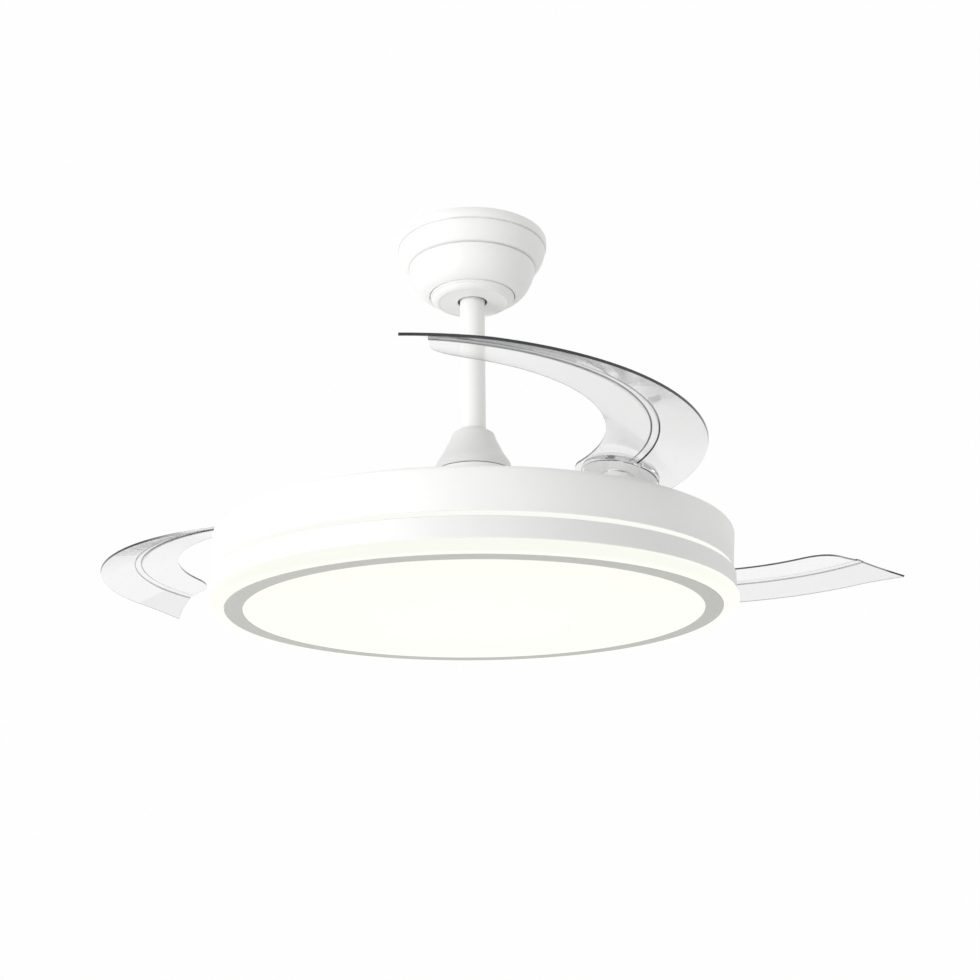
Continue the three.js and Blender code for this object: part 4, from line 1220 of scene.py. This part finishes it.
@dataclass
class DrumLamp:
    """The round lamp: a painted drum, lit rings and a lit panel on a pressed chassis.

    The heights are millimetres above the lamp's face.
    """

    drum: float = 250.9
    waist: float = 247.8
    rim: float = 70.5
    deck: float = 51.7
    shell_foot: float = 33.6
    strip_height: float = 4.4
    band: float = 250.2
    band_foot: float = 10.1
    glow: float = 252.0
    grey_outer: float = 237.0
    grey_inner: float = 219.9
    skirt: float = 240.0
    chassis: float = 246.6
    segments: int = 240

    def ring(self, name: str, outline: Outline, finish: Finish, node: str) -> None:
        """Turns one of the lamp's pieces and dresses it.

        Args:
            name: The piece's name.
            outline: Its section, with heights above the face.
            finish: Its finish.
            node: The node that it replaces.
        """
        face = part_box("glow_ring")[0].z * 1000
        piece = turned(name, raised(outline, face), self.segments)
        dress(piece, Body.HANGING, finish, [node])

    def build_shell(self) -> None:
        """Builds the drum's upper shell with its rolled rim and the white band below it."""
        inside = self.chassis + 0.3
        under = self.deck - 1.8
        self.ring(
            "drum",
            [(self.waist, self.shell_foot), (self.waist + 0.3, self.shell_foot + 0.5),
             (self.drum - 0.1, self.rim - 4.4), (self.drum, self.rim - 3.0),
             (self.drum - 0.3, self.rim - 1.4),
             (self.drum - 1.0, self.rim - 0.4), (self.drum - 2.0, self.rim), (inside + 0.6, self.rim),
             (inside, self.rim - 0.6), (inside, under), (self.skirt + 3, under),
             (self.skirt + 3, under - 1.5),
             (self.waist - 3.2, under - 1.5), (self.waist - 3.2, self.shell_foot)],
            DRUM_COAT, "drum_shell",
        )
        seat = self.skirt + 0.3
        top = self.shell_foot - self.strip_height - 0.6
        self.ring(
            "band",
            [(seat, top), (self.band - 0.6, top), (self.band, top - 0.6), (self.band, self.band_foot + 0.6),
             (self.band - 0.5, self.band_foot), (self.band - 2, self.band_foot), (self.band - 2, top - 2),
             (seat, top - 2)],
            BAND_COAT, "white_band",
        )

    def build_lights(self) -> None:
        """Builds the lit strip, the lit lower ring and the lit panel."""
        seat = self.skirt + 0.3
        top = self.shell_foot - 0.3
        foot = top - self.strip_height
        edge = self.waist - 0.3
        self.ring(
            "lit_strip",
            [(seat, foot), (edge - 0.5, foot), (edge, foot + 0.5), (edge, top - 0.5),
             (edge - 0.5, top), (seat, top)],
            STRIP_OPAL, "light_strip",
        )
        roof = self.band_foot - 0.3
        outside = smooth(
            [(self.glow - 8.0, 0.0), (self.glow - 4.8, 0.5), (self.glow - 2.2, 1.9), (self.glow - 0.6, 3.9),
             (self.glow, 6.2), (self.glow - 0.4, 8.2), (self.glow - 1.2, roof)], 3
        )
        self.ring(
            "lit_ring",
            [(self.grey_outer + 0.4, 0.4), (self.grey_outer + 0.8, 0.0)] + outside
            + [(seat, roof), (seat, roof - 2), (self.glow - 3.2, roof - 2), (self.glow - 6, 2),
               (self.grey_outer + 0.4, 2)],
            RING_OPAL, "glow_ring",
        )
        panel = self.grey_inner - 0.3
        self.ring(
            "lit_panel",
            [(0, 0), (panel - 0.4, 0), (panel, 0.4), (panel, 1.8), (panel + 7, 1.8), (panel + 7, 4), (0, 4)],
            PANEL_OPAL, "bottom_diffuser",
        )

    def build_metal(self) -> None:
        """Builds the grey ring round the panel and the chassis with its deck."""
        upstand = self.skirt - 1.8
        top = self.band_foot + 6
        self.ring(
            "grey_ring",
            [(self.grey_inner, 0.3), (self.grey_inner + 0.3, 0), (self.grey_outer - 0.4, 0),
             (self.grey_outer, 0.4), (self.grey_outer, 2.4), (upstand, self.band_foot), (upstand, top),
             (upstand - 1.5, top), (self.grey_outer - 3, 1.5), (self.grey_inner, 1.5)],
            GREY_ENAMEL, "grey_trim_ring",
        )
        under = self.deck - 1.5
        self.ring(
            "chassis",
            [(8.3, self.deck), (self.chassis - 0.4, self.deck), (self.chassis, self.deck - 0.4),
             (self.chassis, under), (self.skirt, under), (self.skirt, self.band_foot),
             (self.skirt - 1.5, self.band_foot), (self.skirt - 1.5, under), (8.3, under)],
            POWDER_COAT, "lamp_chassis",
        )

    def build(self) -> None:
        """Builds every piece of the lamp that shows."""
        self.build_shell()
        self.build_lights()
        self.build_metal()


@dataclass
class MachinedPieces:
    """The model's own pieces that keep their shape and get their real finish."""

    finishes: ClassVar[dict[Finish, tuple[str, ...]]] = {
        ZINC_PLATE: (
            "ceiling_bracket", "canopy_screw_front", "canopy_screw_back", "ball_cross_pin", "coupler_pin",
            "coupler_set_screw", "housing_screw_1", "housing_screw_2", "housing_screw_3", "board_spacer_1",
            "board_spacer_2", "board_spacer_3", "shaft_nut",
        ),
        MOULDED_NYLON: ("hanger_ball",),
        CAST_ALUMINIUM: ("motor_coupler",),
        GROUND_STEEL: ("motor_shaft", "upper_bearing", "lower_bearing"),
        LAMINATIONS: ("stator_core",),
        COPPER_WINDING: ("stator_winding",),
        FERRITE_RING: ("magnet_ring",),
        POWDER_COAT: ("blade_carrier",),
        CIRCUIT_BOARD: ("led_board",),
        MOULDED_ABS: ("led_driver", "remote_receiver"),
    }

    def build(self) -> None:
        """Gives each of these pieces its finish."""
        for finish, nodes in self.finishes.items():
            for node in nodes:
                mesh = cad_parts[node].data
                mesh.materials.clear()
                mesh.materials.append(finish.material())
                LOG.info("%s keeps its shape in %s", node, finish.name)


# ---------------------------------------------------------------- studio


@dataclass
class Studio:
    """The camera, a white room and soft light that is stronger from the left."""

    camera_place: tuple[float, float, float] = (0.0, -1.31663, -0.67928)
    yaw: float = -0.01228289
    pitch: float = 0.30054701
    roll: float = -0.01018238
    lens: float = 51.23
    ambient: float = 0.72
    key_power: float = 40.0
    key_size: float = 1.8
    key_place: tuple[float, float, float] = (-2.1, -1.5, -0.9)
    key_aim: tuple[float, float, float] = (0.0, 0.0, -0.3)
    floor_height: float = -1.7

    def build_camera(self) -> None:
        """Builds the camera at the photographer's place, a little below the lamp and looking up."""
        data = bpy.data.cameras.new("view")
        data.lens = self.lens
        data.sensor_width = 36.0
        camera = bpy.data.objects.new("view", data)
        bpy.context.collection.objects.link(camera)
        turn = (
            Matrix.Rotation(self.yaw, 4, "Z")
            @ Matrix.Rotation(math.pi / 2 + self.pitch, 4, "X")
            @ Matrix.Rotation(self.roll, 4, "Z")
        )
        camera.matrix_world = Matrix.Translation(self.camera_place) @ turn
        bpy.context.scene.camera = camera

    def build_world(self) -> None:
        """Builds a room that is white to the eye and in glass and gloss, and softer as light."""
        world = bpy.data.worlds.new("white_room")
        world.use_nodes = True
        tree = world.node_tree
        tree.nodes.clear()
        path = add_node(tree, "ShaderNodeLightPath").outputs
        seen = path["Is Camera Ray"]
        for kind in ("Is Glossy Ray", "Is Transmission Ray"):
            either = add_node(tree, "ShaderNodeMath", {0: seen, 1: path[kind]}, operation="MAXIMUM")
            seen = either.outputs["Value"]
        mix = add_node(tree, "ShaderNodeMixShader", {0: seen})
        for socket, colour, strength in ((1, "#FFFFFF", self.ambient), (2, "#FEFEFE", 1.0)):
            light = add_node(tree, "ShaderNodeBackground", {"Color": linear(colour), "Strength": strength})
            tree.links.new(light.outputs["Background"], mix.inputs[socket])
        add_node(tree, "ShaderNodeOutputWorld", {"Surface": mix.outputs["Shader"]})
        bpy.context.scene.world = world

    def build_lamps(self) -> None:
        """Hangs the large soft lamp to the left and in front."""
        data = bpy.data.lights.new("soft_left", "AREA")
        data.shape = "RECTANGLE"
        data.size = self.key_size
        data.size_y = self.key_size
        data.energy = self.key_power
        lamp = bpy.data.objects.new("soft_left", data)
        bpy.context.collection.objects.link(lamp)
        place = Vector(self.key_place)
        aim = Vector(self.key_aim) - place
        lamp.matrix_world = Matrix.Translation(place) @ aim.to_track_quat("-Z", "Y").to_matrix().to_4x4()

    def build_floor(self) -> None:
        """Lays a pale floor well below the lamp."""
        deselect_all()
        bpy.ops.mesh.primitive_circle_add(
            vertices=96, radius=2.6, fill_type="NGON", location=(0, 0, self.floor_height)
        )
        floor = bpy.context.object
        floor.name = "floor"
        place_in_mesh(floor)
        paint = Finish("matt_floor_paint", "", "#F4F4F2", 0.8, mottle=0.01, mottle_size=300, grain_size=8.0)
        floor.data.materials.append(paint.material())

    def build(self) -> None:
        """Builds the camera, the room, the lamp and the floor."""
        bpy.context.scene.view_settings.view_transform = "Standard"
        self.build_camera()
        self.build_world()
        self.build_lamps()
        self.build_floor()


def main() -> None:
    """Builds the studio and every sub-assembly in order."""
    logging.basicConfig(level=logging.INFO, format="%(message)s")
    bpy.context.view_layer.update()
    for assembly in (
        Studio(), CeilingCanopy(), Downrod(), MotorHousings(), FoldingBlade(), DrumLamp(), MachinedPieces(),
    ):
        assembly.build()
        LOG.info("%s done", type(assembly).__name__)


if __name__ == "__main__":
    main()
